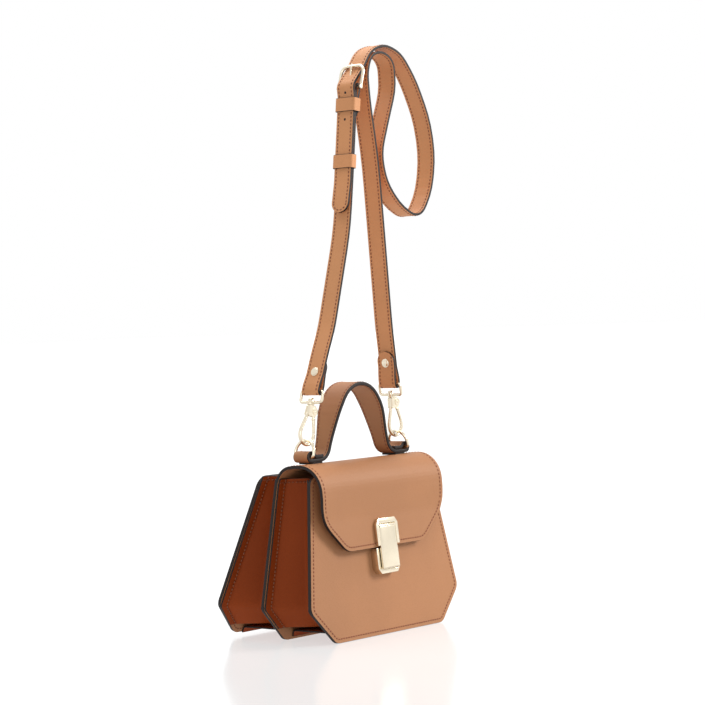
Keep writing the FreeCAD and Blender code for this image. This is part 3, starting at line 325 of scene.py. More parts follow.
def sew(bm, points, normals, depth):
    """A row of stitches along a line of 3-D points that have normals."""
    lengths = [0.0]
    for start, end in zip(points, points[1:]):
        lengths.append(lengths[-1] + (end - start).length)
    count = max(1, int(lengths[-1] / STITCH_PITCH))
    pitch = lengths[-1] / count
    at = 0
    for i in range(count):
        target = (i + 0.5) * pitch
        while lengths[at + 1] < target:
            at += 1
        share = (target - lengths[at]) / (lengths[at + 1] - lengths[at])
        spot = points[at].lerp(points[at + 1], share)
        normal = normals[at].lerp(normals[at + 1], share)
        add_stitch(bm, spot, points[at + 1] - points[at], normal, depth)


# ---- materials ----------------------------------------------------------------

class Maths:
    """A number socket that can be written in plain sums."""

    def __init__(self, nodes, socket):
        self.nodes = nodes
        self.socket = socket

    def apply(self, operation, *values, clamp=False):
        return self.nodes.value("ShaderNodeMath", {"operation": operation, "use_clamp": clamp},
                                dict(enumerate([self] + list(values))))

    def __add__(self, other):
        return self.apply("ADD", other)

    def __radd__(self, other):
        return self.apply("ADD", other)

    def __sub__(self, other):
        return self.apply("SUBTRACT", other)

    def __rsub__(self, other):
        return (self * -1.0) + other

    def __mul__(self, other):
        return self.apply("MULTIPLY", other)

    def __rmul__(self, other):
        return self.apply("MULTIPLY", other)

    def band(self, low, high):
        """0 below one value and 1 above another, easing between them."""
        return self.nodes.value("ShaderNodeMapRange", {"interpolation_type": "SMOOTHSTEP"},
                                {"Value": self, "From Min": low, "From Max": high})


class Nodes:
    """A material's nodes."""

    def __init__(self, name):
        self.material = bpy.data.materials.new(name)
        self.material.use_nodes = True
        self.tree = self.material.node_tree
        self.tree.nodes.clear()
        self.output = self.tree.nodes.new("ShaderNodeOutputMaterial")

    def node(self, kind, settings=None, inputs=None):
        """A node of one kind, with its settings first and then its sockets' values or links."""
        made = self.tree.nodes.new(kind)
        for key, value in (settings or {}).items():
            if key == "stops":
                self.set_stops(made.color_ramp, value)
            else:
                setattr(made, key, value)
        for key, value in (inputs or {}).items():
            if isinstance(value, Maths):
                value = value.socket
            if isinstance(value, bpy.types.NodeSocket):
                self.tree.links.new(value, made.inputs[key])
            else:
                made.inputs[key].default_value = value
        return made

    def set_stops(self, ramp, stops):
        for index, (position, colour) in enumerate(stops):
            stop = ramp.elements[index] if index < 2 else ramp.elements.new(position)
            stop.position = position
            stop.color = tuple(colour) + (1.0,)

    def value(self, kind, settings, inputs, output=0):
        return Maths(self, self.node(kind, settings, inputs).outputs[output])

    def place(self):
        return self.node("ShaderNodeTexCoord").outputs["Object"]

    def noise(self, scale, detail=2.0, roughness=0.5):
        return self.value("ShaderNodeTexNoise", {}, {"Vector": self.place(), "Scale": scale, "Detail": detail,
                                                     "Roughness": roughness})

    def mix(self, factor, first, second):
        """One colour turning into another."""
        made = self.node("ShaderNodeMix", {"data_type": "RGBA"})
        for index, value in ((0, factor), (6, first), (7, second)):
            if isinstance(value, Maths):
                value = value.socket
            if isinstance(value, bpy.types.NodeSocket):
                self.tree.links.new(value, made.inputs[index])
            else:
                made.inputs[index].default_value = value if index == 0 else tuple(value)[:3] + (1.0,)
        return made.outputs[2]

    def bump(self, height, strength, distance):
        return self.node("ShaderNodeBump", {}, {"Height": height, "Strength": strength,
                                                "Distance": distance}).outputs["Normal"]

    def finish(self, inputs):
        shader = self.node("ShaderNodeBsdfPrincipled", {}, inputs)
        self.tree.links.new(shader.outputs[0], self.output.inputs["Surface"])
        return self.material


def shade(colour, factor):
    return tuple(channel * factor for channel in tuple(colour)[:3])


def smooth_leather(name, colour, look, gloss=0.0, shine=0.3):
    """Calf leather with fine pores, faint clouding, soft creases and a waxed surface."""
    n = Nodes(name)
    cloud = n.noise(9.0, 3.0)
    fine = n.noise(620.0, 3.0, 0.6)
    pores = n.value("ShaderNodeTexVoronoi", {"feature": "DISTANCE_TO_EDGE"},
                    {"Vector": n.place(), "Scale": 1000.0 / look.grain_mm}, "Distance")
    grain = pores.band(0.0, 0.22)
    tone = n.mix(cloud.band(0.35, 0.7), shade(colour, 0.93), shade(colour, 1.06))
    tone = n.mix(fine.band(0.62, 0.8) * 0.3, tone, shade(colour, 0.72))
    tone = n.mix((1.0 - grain) * 0.22, tone, shade(colour, 0.6))
    rough = 0.43 - gloss + cloud * 0.1 + (1.0 - grain) * 0.1
    waves = n.noise(26.0, 2.0)
    height = grain * look.grain_depth + fine * 0.35 + waves * 1.5
    return n.finish({"Base Color": tone, "Roughness": rough, "Specular IOR Level": shine,
                     "Normal": n.bump(height, 0.22, 0.0006)})


def edge_paint(look):
    """Thick dark edge paint, a little uneven and satin."""
    n = Nodes("edge_paint")
    lumps = n.noise(180.0, 3.0)
    tone = n.mix(lumps.band(0.4, 0.75), look.edge_colour, shade(look.edge_colour, 1.4))
    return n.finish({"Base Color": tone, "Roughness": 0.42 + lumps * 0.2, "Specular IOR Level": 0.25,
                     "Normal": n.bump(lumps, 0.3, 0.0004)})


def thread(look):
    """Waxed thread, darker than the leather, with a twist."""
    n = Nodes("waxed_thread")
    twist = n.noise(1500.0, 2.0)
    tone = n.mix(twist.band(0.35, 0.7), look.thread_colour, shade(look.thread_colour, 1.5))
    return n.finish({"Base Color": tone, "Roughness": 0.55, "Normal": n.bump(twist, 0.4, 0.0002)})


def plated_metal(name, colour, rough):
    """Polished plating with faint handling marks and slight clouding."""
    n = Nodes(name)
    marks = n.noise(420.0, 4.0, 0.65)
    cloud = n.noise(60.0, 2.0)
    tone = n.mix(cloud.band(0.3, 0.75), colour, shade(colour, 0.93))
    return n.finish({"Base Color": tone, "Metallic": 1.0, "Roughness": rough + marks.band(0.5, 0.8) * 0.07,
                     "Normal": n.bump(marks, 0.02, 0.0001)})


# Painted shade: a near-black finish for the strap's holes, standing in for the shadow inside them.
def hole_painted_shade():
    n = Nodes("punched_hole_painted_shade")
    lumps = n.noise(600.0)
    return n.finish({"Base Color": n.mix(lumps, (0.012, 0.007, 0.005), (0.03, 0.015, 0.01)),
                     "Roughness": 0.9})


FINISHES = {}


def make_finishes(look):
    FINISHES.update({
        "leather": smooth_leather("tan_calf", look.leather_colour, look),
        "strap": smooth_leather("tan_calf_strap", look.strap_colour, look),
        # Gusset and compartment floor finish: the tan leather with painted shade and painted reddish bounce
        # light in its colour.
        "gusset": smooth_leather("tan_calf_gusset", look.gusset_colour, look, -0.03, 0.12),
        "edge": edge_paint(look),
        "thread": thread(look),
        "gold": plated_metal("pale_gold_plate", look.metal_colour, 0.2),
        "satin": plated_metal("satin_gold_plate", shade(look.metal_colour, 0.97), 0.24),
        "steel": plated_metal("satin_steel", (0.5, 0.49, 0.46), 0.35),
        "hole": hole_painted_shade(),
    })


# ---- leather of the bag ---------------------------------------------------------

def wall(spec):
    """Where a point goes that is drawn up a leaning panel's outer face: from (x, up, out) to the bag."""
    lean = math.radians(spec["lean"])
    sine, cosine, side = math.sin(lean), math.cos(lean), -spec["into"]
    lift = spec["raise"] + max(0.0, spec["into"] * spec["thick"] * sine)
    foot = spec["y"] + math.tan(lean) * (lift - spec["raise"])

    def place(x, up, out=0.0):
        return Vector((x, foot + up * sine + side * out * cosine, lift + up * cosine - side * out * sine))
    return place


def half_width(loop, z):
    """Half the width of a symmetric pattern at a height."""
    widest = 0.0
    for start, end in zip(loop, loop[1:]):
        if abs(end[1] - start[1]) < 1e-9:
            continue
        share = (z - start[1]) / (end[1] - start[1])
        if -1e-6 <= share <= 1 + 1e-6:
            widest = max(widest, start[0] + (end[0] - start[0]) * share)
    return widest


def rows_between(low, high, loop, step=2.5):
    """Heights for a sheet's rows: the pattern's own corners and even steps between them."""
    marks = sorted({round(p[1], 4) for p in loop if low < p[1] < high} | {low, high})
    kept = [marks[0]]
    for mark in marks[1:]:
        if mark - kept[-1] > 0.12:
            kept.append(mark)
    kept[-1] = high
    rows = [kept[0]]
    for start, end in zip(kept, kept[1:]):
        parts = max(1, int(math.ceil((end - start) / step)))
        rows.extend(start + (end - start) * i / parts for i in range(1, parts + 1))
    return rows


def outline_points(loop, inset, step=1.5):
    """A closed pattern's line moved inwards by an inset, closely spaced."""
    path = Path(respaced(loop, step))
    return [path.at(at) + path.side(at) * inset for at in path.stations(step)]


def stitched(rows, body, name):
    """An object of stitches from rows of (points, normals, depth)."""
    bm = bmesh.new()
    for points, normals, depth in rows:
        sew(bm, points, normals, depth)
    piece = piece_from(bm, name, [FINISHES["thread"]])
    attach(piece, body)
    return piece


def leather_piece(piece, slot, *nodes):
    if nodes:
        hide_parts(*nodes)
    return piece


def make_panel(name, spec, pattern, node, sign):
    """An outer panel: a trimmed sheet with thickness, painted edges and a stitched rim."""
    place = wall(spec)
    loop = corner_rounded(pattern, PANEL_CORNER)
    rows = rows_between(0.0, pattern[2][1], loop)

    def put(u, v):
        up = rows[int(round(v * (len(rows) - 1)))]
        return place(sign * (2 * u - 1) * half_width(loop, up), up)

    piece = piece_from(grid_sheet(72, len(rows) - 1, put), name, [FINISHES["leather"], FINISHES["edge"]])
    thickened(piece, spec["thick"], -1.0, bevel=0.8)
    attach(piece, "bag")
    leather_piece(piece, "smooth_leather", node)
    middle = spec["thick"] / 2
    spots = [place(p[0], p[1], -middle) for p in outline_points(loop, ROW_INSET)]
    out = place(0, 0, 1) - place(0, 0, 0)
    return stitched([(spots, [out] * len(spots), spec["thick"] + STITCH_STAND)], "bag", name + "_stitches")


# Heights at which the cover's rows lie close together, round the corners of its outline
CLOSE_ROWS = {"divider": [(-1, 8), (22, 37), (126, 400)], "flap": [(-1, 83), (97, 115), (120, 400)]}
HINGE_CLEAR = 8.0
FLAP_CORNER_Z = 108.0
FLAP_FAN_Z = 140.0
DIVIDER_ROW = (29.0, 127.0)


class Cover:
    """The one sheet of leather that is the divider, the arch and the flap, as a path in (y, z)."""

    def __init__(self):
        slope = math.tan(math.radians(DIVIDER["lean"]))
        front = math.radians(FRONT["lean"])

        def flap_y(z):
            return FRONT["y"] + math.tan(front) * z - FLAP_STANDOFF / math.cos(front)
        points = [(DIVIDER["y"], 0.0), (DIVIDER["y"] + slope * ARCH_BACK_Z, ARCH_BACK_Z),
                  (ARCH_FRONT_Y, ARCH_FRONT_Z), (flap_y(SHOULDER_Z), SHOULDER_Z),
                  (flap_y(FLAP_PATTERN[0][1]), FLAP_PATTERN[0][1])]
        self.path = Path(rounded(points, COVER_BENDS))
        self.panel = corner_rounded(PANEL, PANEL_CORNER)
        self.flap = corner_rounded(FLAP_PATTERN, FLAP_CORNERS)
        self.over = next(at for at in self.path.stations(0.5) if self.path.at(at)[0] < HANDLE_Y)
        self.hinge = min((at for at in self.path.stations(0.2) if at < self.over),
                         key=lambda at: abs(self.path.at(at)[1] - HINGE_Z))

    def half(self, at):
        """Half the width of the leather at a length along the path."""
        z = self.path.at(at)[1]
        if at > self.over:
            return half_width(self.flap, z)
        if z < PANEL[2][1] - 2 * PANEL_CORNER:
            return half_width(self.panel, z)
        return panel_edge(min(z, PANEL[2][1]))

    def spot(self, x, at, deep=0.0):
        """A point of the leather: across, along the path and into its thickness."""
        y, z = self.path.at(at)
        out = self.path.side(at) * -1.0
        fall = min(1.0, max(0.0, (ARCH_FRONT_Z - z) / CURL_FADE)) if at > self.over else 0.0
        curl = FLAP_CURL * fall * (abs(x) / PANEL[2][0]) ** 3
        return Vector((x, y + out[0] * (curl - deep), z + out[1] * (curl - deep)))

    def rows(self):
        """Lengths along the path for the sheet's rows, close together round its corners."""
        marks = []
        for at in self.path.stations(0.6):
            z = self.path.at(at)[1]
            bands = CLOSE_ROWS["divider" if at < self.over else "flap"]
            close = any(low < z < high for low, high in bands)
            if not marks or at - marks[-1] > (0.59 if close else 2.4):
                marks.append(at)
        marks[-1] = self.path.length
        return marks


def make_cover():
    """The divider, arch and flap in one sheet, curved over the arch."""
    cover = Cover()
    rows = cover.rows()

    def put(u, v):
        at = rows[int(round(v * (len(rows) - 1)))]
        return cover.spot((1 - 2 * u) * cover.half(at), at)

    piece = piece_from(grid_sheet(84, len(rows) - 1, put), "flap_and_divider",
                       [FINISHES["leather"], FINISHES["edge"]])
    add_modifier(piece, "SOLIDIFY", thickness=DIVIDER["thick"] * MM, offset=-1.0, use_even_offset=True,
                 material_offset_rim=1)
    add_modifier(piece, "BEVEL", width=0.75 * MM, segments=3, limit_method="ANGLE",
                 angle_limit=math.radians(50), material=1)
    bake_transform(piece)
    leather_piece(piece, "smooth_leather", "divider_panel", "flap")

    deep = DIVIDER["thick"] / 2
    edge = cover.path.stations(1.5)
    flap_rows, bag_rows = [], []
    for sign in (-1, 1):
        side = [at for at in edge if at > cover.hinge + HINGE_CLEAR and cover.path.at(at)[1] > FLAP_CORNER_Z]
        flap_rows.append(side_row(cover, side, sign, deep))
        low = [at for at in edge if DIVIDER_ROW[0] < cover.path.at(at)[1] < DIVIDER_ROW[1] and at < cover.hinge]
        bag_rows.append(side_row(cover, low, sign, deep))
    corner = [p for p in outline_points(cover.flap, ROW_INSET) if p[1] < FLAP_CORNER_Z]
    corner.sort(key=lambda p: math.atan2(p[0], FLAP_FAN_Z - p[1]))
    spots, normals = [], []
    for p in corner:
        at = min((a for a in edge if a > cover.over), key=lambda a: abs(cover.path.at(a)[1] - p[1]))
        at += cover.path.at(at)[1] - p[1]
        spots.append(cover.spot(p[0], at, deep))
        side = cover.path.side(at)
        normals.append(Vector((0, -side[0], -side[1])))
    flap_rows.append((spots, normals, DIVIDER["thick"] + STITCH_STAND))
    stitched(flap_rows, "flap", "flap_stitches")
    stitched(bag_rows, "bag", "divider_stitches")


def side_row(cover, lengths, sign, deep):
    spots = [cover.spot(sign * (cover.half(at) - ROW_INSET), at, deep) for at in lengths]
    normals = []
    for at in lengths:
        side = cover.path.side(at)
        normals.append(Vector((0, -side[0], -side[1])))
    return spots, normals, DIVIDER["thick"] + STITCH_STAND


# ---- gussets --------------------------------------------------------------------

GUSSET_THICK = 1.4
GUSSET_STATIONS = [(11.0, 15.0), (29.0, 19.0), (ARCH_START_Z, 9.5), (137.0, 9.0)]
GUSSET_BENDS = [4.5, 3.4, 4.5]
GUSSET_ROWS = 60
GUSSET_SAG = 0.8
FLANGE = 8.0
REAR_RISE = 2.0
SEAM_INSET = 6.5
HEM_DOWN = 3.2
PANEL_MARGIN = 1.0
BOTTOM_LOW, BOTTOM_HIGH = 2.0, 8.0


def wall_inner(spec, z):
    """How far back a leaning panel's inner face stands at a height."""
    foot = wall(spec)(0, 0, -spec["thick"])
    return foot[1] + (z - foot[2]) * math.tan(math.radians(spec["lean"]))


def front_inner(z):
    return wall_inner(FRONT, z)


def back_inner(z):
    return wall_inner(BACK, z)


def divider_outer(z):
    return DIVIDER["y"] + math.tan(math.radians(DIVIDER["lean"])) * z


def divider_inner(z):
    straight = divider_outer(z) - DIVIDER["thick"] / math.cos(math.radians(DIVIDER["lean"]))
    over = max(0.0, z - ARCH_START_Z)
    return straight - over * over / ARCH_BEND_WIDE


def panel_edge(z):
    low, wide, top = PANEL[0][0], PANEL[1][0], PANEL[2][0]
    if z <= PANEL[1][1]:
        return low + (wide - low) * z / PANEL[1][1]
    return wide + (top - wide) * (z - PANEL[1][1]) / (PANEL[2][1] - PANEL[1][1])


def between(stations, z):
    for (low, first), (high, second) in zip(stations, stations[1:]):
        if z <= high:
            return first + (second - first) * (z - low) / (high - low)
    return stations[-1][1]


def gusset_line(front_at, back_at, z, rise, gap):
    """The folded side's face across the bag: its line in (x, y) and the height at each y."""
    tilt = rise * max(0.0, (z - PANEL[1][1]) / (GUSSET_STATIONS[-1][0] - PANEL[1][1]))
    valley = between(GUSSET_STATIONS, z)
    front, back = front_at(z) + gap, back_at(z + tilt) - gap
    outer, outer_back = panel_edge(z) - PANEL_MARGIN, panel_edge(z + tilt) - PANEL_MARGIN
    inner, inner_back = outer - FLANGE, outer_back - FLANGE
    points = [(outer, front), (inner, front), (inner - valley, (front + back) / 2), (inner_back, back),
              (outer_back, back)]

    def height(y):
        return z + tilt * min(1.0, max(0.0, (y - front) / (back - front)))
    return Path(rounded(points, GUSSET_BENDS, step=1.0)), height


def make_gusset(name, front_at, back_at, rise, sign, nodes):
    """A folded side wall: one thin sheet with flanges sewn to both panels and a black hem."""
    low, high = GUSSET_STATIONS[0][0], GUSSET_STATIONS[-1][0]
    rows = [low + (high - low) * i / GUSSET_ROWS for i in range(GUSSET_ROWS + 1)]
    lines = [gusset_line(front_at, back_at, z, rise, GUSSET_THICK) for z in rows]

    def put(u, v):
        line, height = lines[int(round(v * (len(rows) - 1)))]
        share = u if sign < 0 else 1 - u
        x, y = line.at(share * line.length)
        sag = GUSSET_SAG * math.sin(math.pi * share) ** 2 * math.sin(math.pi * v * 2.2 + 0.4)
        return Vector((sign * (x - sag), y, height(y)))

    piece = piece_from(grid_sheet(64, GUSSET_ROWS, put), name, [FINISHES["gusset"], FINISHES["edge"]])
    thickened(piece, GUSSET_THICK, 1.0, bevel=0.35)
    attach(piece, "bag")
    leather_piece(piece, "gusset_leather", *nodes)
    line, height = gusset_line(front_at, back_at, high - HEM_DOWN, rise, GUSSET_THICK / 2)
    way = [line.at(at) for at in line.stations(1.2)]
    sides = [line.side(at) for at in line.stations(1.2)]
    hem = ([Vector((sign * p[0], p[1], height(p[1]))) for p in way],
           [Vector((sign * side[0], side[1], 0)) for side in sides], GUSSET_THICK + STITCH_STAND)
    seams = [hem]
    for at_end in (False, True):
        spots, normals = [], []
        for line, height in lines:
            at = line.length - SEAM_INSET if at_end else SEAM_INSET
            x, y = line.at(at)
            side = line.side(at)
            spots.append(Vector((sign * x, y, height(y))))
            normals.append(Vector((sign * side[0], side[1], 0)))
        seams.append((spots, normals, GUSSET_THICK + STITCH_STAND))
    return stitched(seams, "bag", name + "_stitches")


def make_bottom(name, front_at, back_at, node):
    """The narrow floor of a compartment, turned down at both panels."""
    def section(gap):
        top = BOTTOM_HIGH - GUSSET_THICK
        points = [(front_at(BOTTOM_LOW) + gap, BOTTOM_LOW), (front_at(BOTTOM_HIGH) + gap, top),
                  (back_at(BOTTOM_HIGH) - gap, top), (back_at(BOTTOM_LOW) - gap, BOTTOM_LOW)]
        return Path(rounded(points, [2.0, 2.0], step=1.5))
    line = section(GUSSET_THICK)
    reach = panel_edge(BOTTOM_LOW) - PANEL_MARGIN - PANEL_CORNER

    def put(u, v):
        y, z = line.at(v * line.length)
        return Vector(((2 * u - 1) * reach, y, z))
    piece = piece_from(grid_sheet(40, 48, put), name, [FINISHES["gusset"], FINISHES["edge"]])
    thickened(piece, GUSSET_THICK, 1.0, bevel=0.35)
    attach(piece, "bag")
    return leather_piece(piece, "gusset_leather", node)


# ---- flat straps ------------------------------------------------------------------

STRAP_STEP = 1.3
STRAP_GAP = 2.7
SIDE_REACH = 0.9


def strap_piece(name, path, half_at, thickness, slots, body, nodes):
    """A flat leather strap along a path in (x, z), with painted edges and rounded ends."""
    count = int(path.length / STRAP_STEP)

    def put(u, v):
        at = v * path.length
        x, z = path.at(at)
        side = path.side(at, SIDE_REACH)
        width = (2 * u - 1) * half_at(at)
        return Vector((x + side[0] * thickness / 2, HANDLE_Y - width, z + side[1] * thickness / 2))

    piece = piece_from(grid_sheet(14, count, put), name, slots)
    add_modifier(piece, "SOLIDIFY", thickness=thickness * MM, offset=-1.0, use_even_offset=True,
                 material_offset_rim=1)
    add_modifier(piece, "BEVEL", width=min(0.75, thickness * 0.3) * MM, segments=3, limit_method="ANGLE",
                 angle_limit=math.radians(50), material=1)
    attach(piece, body)
    return leather_piece(piece, "smooth_leather", *nodes)


def strap_rows(path, half_at, inset, thickness, start, end, hold=()):
    """Two rows of stitches along a strap, leaving out the parts that another piece covers."""
    rows = []
    stations = [at for at in path.stations(STRAP_STEP)
                if start < at < end and not any(low < at < high for low, high in hold)]
    runs, run = [], []
    for at in stations:
        if run and at - run[-1] > STRAP_GAP:
            runs.append(run)
            run = []
        run.append(at)
    runs.append(run)
    for run in runs:
        if len(run) < 3:
            continue
        for sign in (-1, 1):
            spots, normals = [], []
            for at in run:
                x, z = path.at(at)
                side = path.side(at, SIDE_REACH)
                spots.append(Vector((x, HANDLE_Y + sign * (half_at(at) - inset), z)))
                normals.append(Vector((side[0], 0, side[1])))
            rows.append((spots, normals, thickness + STRAP_STITCH_STAND))
    return rows


STRAP_HALF = 9.0
STRAP_THICK = 2.2
WIRE_FIT = 0.25
LAYER_GAP = 0.1
FOLD = STRAP_THICK / 2 + WIRE_FIT
LAYER = (STRAP_THICK + LAYER_GAP) / 2
EYE_WIRE = 1.3
BUCKLE_BAR_RADIUS = 1.2
BUCKLE_WIRE = (1.5, 1.35)
FRAME_CLEAR, BAR_CLEAR = 2.4, 1.25
EYE_FOLD_CLOSE = 15.0
BUCKLE_FOLD_CLOSE = 9.0
FOLD_SPREAD = 0.33
FOLD_EASE = 1.1
TAB_MARGIN = 4.0
STACK_FOOT = 83.0
EYE_BARS = {"left": (-50.0614, 209.4998), "right": (54.4046, 210.423)}
END_LEAN = {"left": 22.0, "right": -6.5}
TAB = 29.0
BUCKLE_BAR = (15.2, 468.5)
STACK_LEAN = 7.5
BUCKLE_LEAN = 18.0
BUCKLE_REACH = 20.0
RIVET_UP = {"left": 16.5, "right": 18.8}
# The free run of each strap, as offsets from the eye bars and the buckle's bar
LEFT_LEG = [(21.56, 52.5)]
LEFT_TOP = [(-18.2, -123.5)]
RIGHT_LEG = [(-4.9, 51.58)]
HANGING_LOOP = [(28.3, -116.5), (24.3, -60.5), (16.4, -13.5), (14.3, 13.5), (20.8, 29.0), (35.8, 32.9),
                (51.3, 25.5), (52.8, 1.5), (39.8, -29.5), (29.3, -56.5), (35.3, -81.5), (54.8, -102.5),
                (80.8, -113.0), (98.8, -89.5), (105.8, -57.5), (100.3, -24.5), (81.8, 10.5), (61.8, 33.0),
                (38.8, 39.0), (20.3, 32.5)]
TONGUE_TIP = [(-20.2, -108.0)]
TONGUE_BENDS = [30.0, 8.0, 30.0, 60.0]
HOLES_DOWN = (4.5, 28.3)
HOLE_RADIUS = 1.15


def fold_points(bar, bar_radius, lean, tab_side, close):
    """A strap end folded round a bar, from the strap, round, to the tab's end."""
    along = Vector((math.sin(math.radians(lean)), math.cos(math.radians(lean))))
    across = left_of(along) * tab_side
    wide, spread = bar_radius + FOLD, close * FOLD_SPREAD
    spots = [(TAB + TAB_MARGIN, -LAYER), (close, -LAYER), (spread, -wide), (-wide, -wide), (-wide, wide),
             (spread, wide), (close, LAYER), (TAB, LAYER)]
    easy = [FOLD_EASE * close] * 2
    return [Vector(bar) + along * up + across * out for up, out in spots], easy + [wide, wide] + easy


def from_point(point, offsets):
    return [Vector(point) + Vector(offset) for offset in offsets]


def stack_point(down, out):
    """A point below the buckle's bar along its strap, and out from the fold's middle."""
    lean = math.radians(STACK_LEAN)
    return Vector((BUCKLE_BAR[0] - down * math.sin(lean) - out * math.cos(lean),
                   BUCKLE_BAR[1] - down * math.cos(lean) + out * math.sin(lean)))


def short_path():
    """The short strap: left hook's tab, hook, up the leg, buckle, buckle's tab."""
    low, low_bends = fold_points(EYE_BARS["left"], EYE_WIRE, END_LEAN["left"], -1, EYE_FOLD_CLOSE)
    high, high_bends = fold_points(BUCKLE_BAR, BUCKLE_BAR_RADIUS, 180 + STACK_LEAN, 1, BUCKLE_FOLD_CLOSE)
    low.reverse()
    low_bends.reverse()
    free = [low[-1]] + from_point(EYE_BARS["left"], LEFT_LEG) + from_point(BUCKLE_BAR, LEFT_TOP)
    free.append(stack_point(STACK_FOOT, LAYER))
    bends = low_bends + easy_radii([low[-2]] + free + [high[1]]) + high_bends
    return Path(rounded(low[:-1] + free + high[1:], bends, step=1.0))


def long_path():
    """The long strap: right hook's tab, hook, up, round the hanging loop and through the buckle."""
    low, low_bends = fold_points(EYE_BARS["right"], EYE_WIRE, END_LEAN["right"], 1, EYE_FOLD_CLOSE)
    low.reverse()
    low_bends.reverse()
    free = from_point(EYE_BARS["right"], RIGHT_LEG) + from_point(BUCKLE_BAR, HANGING_LOOP)
    lean = math.radians(BUCKLE_LEAN)
    inside = FRAME_CLEAR + STRAP_THICK / 2
    over = BUCKLE_BAR_RADIUS + FOLD + STRAP_THICK + BAR_CLEAR
    under = Vector((BUCKLE_BAR[0] + BUCKLE_REACH * math.sin(lean) + inside * math.cos(lean),
                    BUCKLE_BAR[1] + BUCKLE_REACH * math.cos(lean) - inside * math.sin(lean)))
    tongue = [under, stack_point(-BUCKLE_BAR_RADIUS, over), stack_point(BUCKLE_FOLD_CLOSE, 3 * LAYER),
              stack_point(STACK_FOOT, 3 * LAYER)] + from_point(BUCKLE_BAR, TONGUE_TIP)
    bends = low_bends + easy_radii(low[-2:] + free + tongue[:1]) + TONGUE_BENDS
    return Path(rounded(low + free + tongue, bends, step=1.0))


def round_ends(path, half):
    """Half the width of a strap that ends in half circles."""
    def at_length(at):
        left = min(at, path.length - at)
        if left >= half:
            return half
        return max(0.35, math.sqrt(max(0.0, half * half - (half - left) ** 2)))
    return at_length


def nearest(path, point, low):
    """The length along a path, past a low mark, that comes closest to a point."""
    return min((at for at in path.stations(0.5) if at >= low), key=lambda at: (path.at(at) - point).length)


def make_straps():
    short, long = short_path(), long_path()
    materials = [FINISHES["strap"], FINISHES["edge"]]
    strap_piece("strap_short_leather", short, round_ends(short, STRAP_HALF), STRAP_THICK, materials, "strap",
                ["strap_short"])
    strap_piece("strap_long_leather", long, round_ends(long, STRAP_HALF), STRAP_THICK, materials, "strap",
                ["strap_long"])
    rows = strap_rows(short, lambda at: STRAP_HALF, STRAP_ROW_INSET, STRAP_THICK, 3.0, short.length - 3.0)
    rows += strap_rows(long, lambda at: STRAP_HALF, STRAP_ROW_INSET, STRAP_THICK, 3.0, long.length - 7.5)
    rows.append(tongue_end(long))
    stitched(rows, "strap", "strap_stitches")
    # The holes are shallow near-black disks of painted shade laid into the strap's face; the strap is not cut
    # through.
    bm = bmesh.new()
    for down in HOLES_DOWN:
        at = nearest(long, stack_point(down, 3 * LAYER), long.length - 130.0)
        spot, way = long.at(at), long.side(at)
        if way[0] > 0:
            way = way * -1.0
        start = spot + way * (STRAP_THICK / 2 - 0.3)
        end = spot + way * (STRAP_THICK / 2 + 0.03)
        cylinder(bm, (start[0], HANDLE_Y, start[1]), (end[0], HANDLE_Y, end[1]), HOLE_RADIUS, 20)
    holes = piece_from(bm, "strap_holes_painted_shade", [FINISHES["hole"]])
    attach(holes, "strap")


def tongue_end(path):
    """Stitches round the tongue's tip, a row that follows the half circle."""
    inset = STRAP_HALF - STRAP_ROW_INSET
    spots, normals = [], []
    centre = path.length - STRAP_HALF
    for i in range(25):
        turn = math.pi * i / 24 - math.pi / 2
        at = centre + inset * math.cos(turn)
        x, z = path.at(at)
        side = path.side(at, SIDE_REACH)
        spots.append(Vector((x, HANDLE_Y + inset * math.sin(turn), z)))
        normals.append(Vector((side[0], 0, side[1])))
    return spots, normals, STRAP_THICK + STRAP_STITCH_STAND


KEEPER_THICK = 1.4
KEEPER_TALL = 12.0
KEEPER_EASE = 0.6


def make_keeper(name, down, layers, body, node):
    """A leather band round the strap, with painted edges."""
    thick = layers * STRAP_THICK + (layers - 1) * LAYER_GAP + KEEPER_EASE
    wide = 2 * STRAP_HALF + KEEPER_EASE
    x, z = stack_point(down, (4 - layers) * LAYER)
    turn = Matrix.Translation((x, HANDLE_Y, z)) @ Matrix.Rotation(math.radians(STACK_LEAN), 4, "Y")
    wall_half = KEEPER_THICK / 2
    w, h = thick / 2 + wall_half, wide / 2 + wall_half
    line = Path(rounded([(0.0, -h), (w, -h), (w, h), (-w, h), (-w, -h), (0.0, -h)], [KEEPER_THICK] * 4,
                        step=1.0))

    def put(u, v):
        p = line.at(u * line.length)
        out = line.side(u * line.length) * -1.0
        return turn @ Vector((p[0] + out[0] * wall_half, p[1] + out[1] * wall_half, (v - 0.5) * KEEPER_TALL))
    bm = grid_sheet(72, 10, put)
    bmesh.ops.remove_doubles(bm, verts=bm.verts, dist=1e-3)
    piece = piece_from(bm, name, [FINISHES["strap"], FINISHES["edge"]])
    thickened(piece, KEEPER_THICK, -1.0, bevel=0.35)
    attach(piece, body)
    leather_piece(piece, "smooth_leather", node)


# ---- handle -----------------------------------------------------------------------

HANDLE_THICK = 3.2
HANDLE_ROW_INSET = 2.3
RING_WIRE = 1.4
RING_BAR = (64.5, 154.65)
RING_TILT = 14.0
CROWN_Z = 213.4
FOOT_Z = 151.4
HANDLE_LEG = [(0.0, CROWN_Z), (13.6, CROWN_Z), (28.5, 193.5), (42.5, FOOT_Z)]
HANDLE_BENDS = [27.0, 60.0, 13.0]
HANDLE_TAB = 13.0
NARROW_HALF, HANDLE_SWELL = 8.2, 4.3
NARROW_Z, SWELL_TALL = 160.0, 40.0
FOLD_ROW = (16.5, 33.0)
PAD = (13.0, 15.2, 1.6)
PAD_X = 56.0


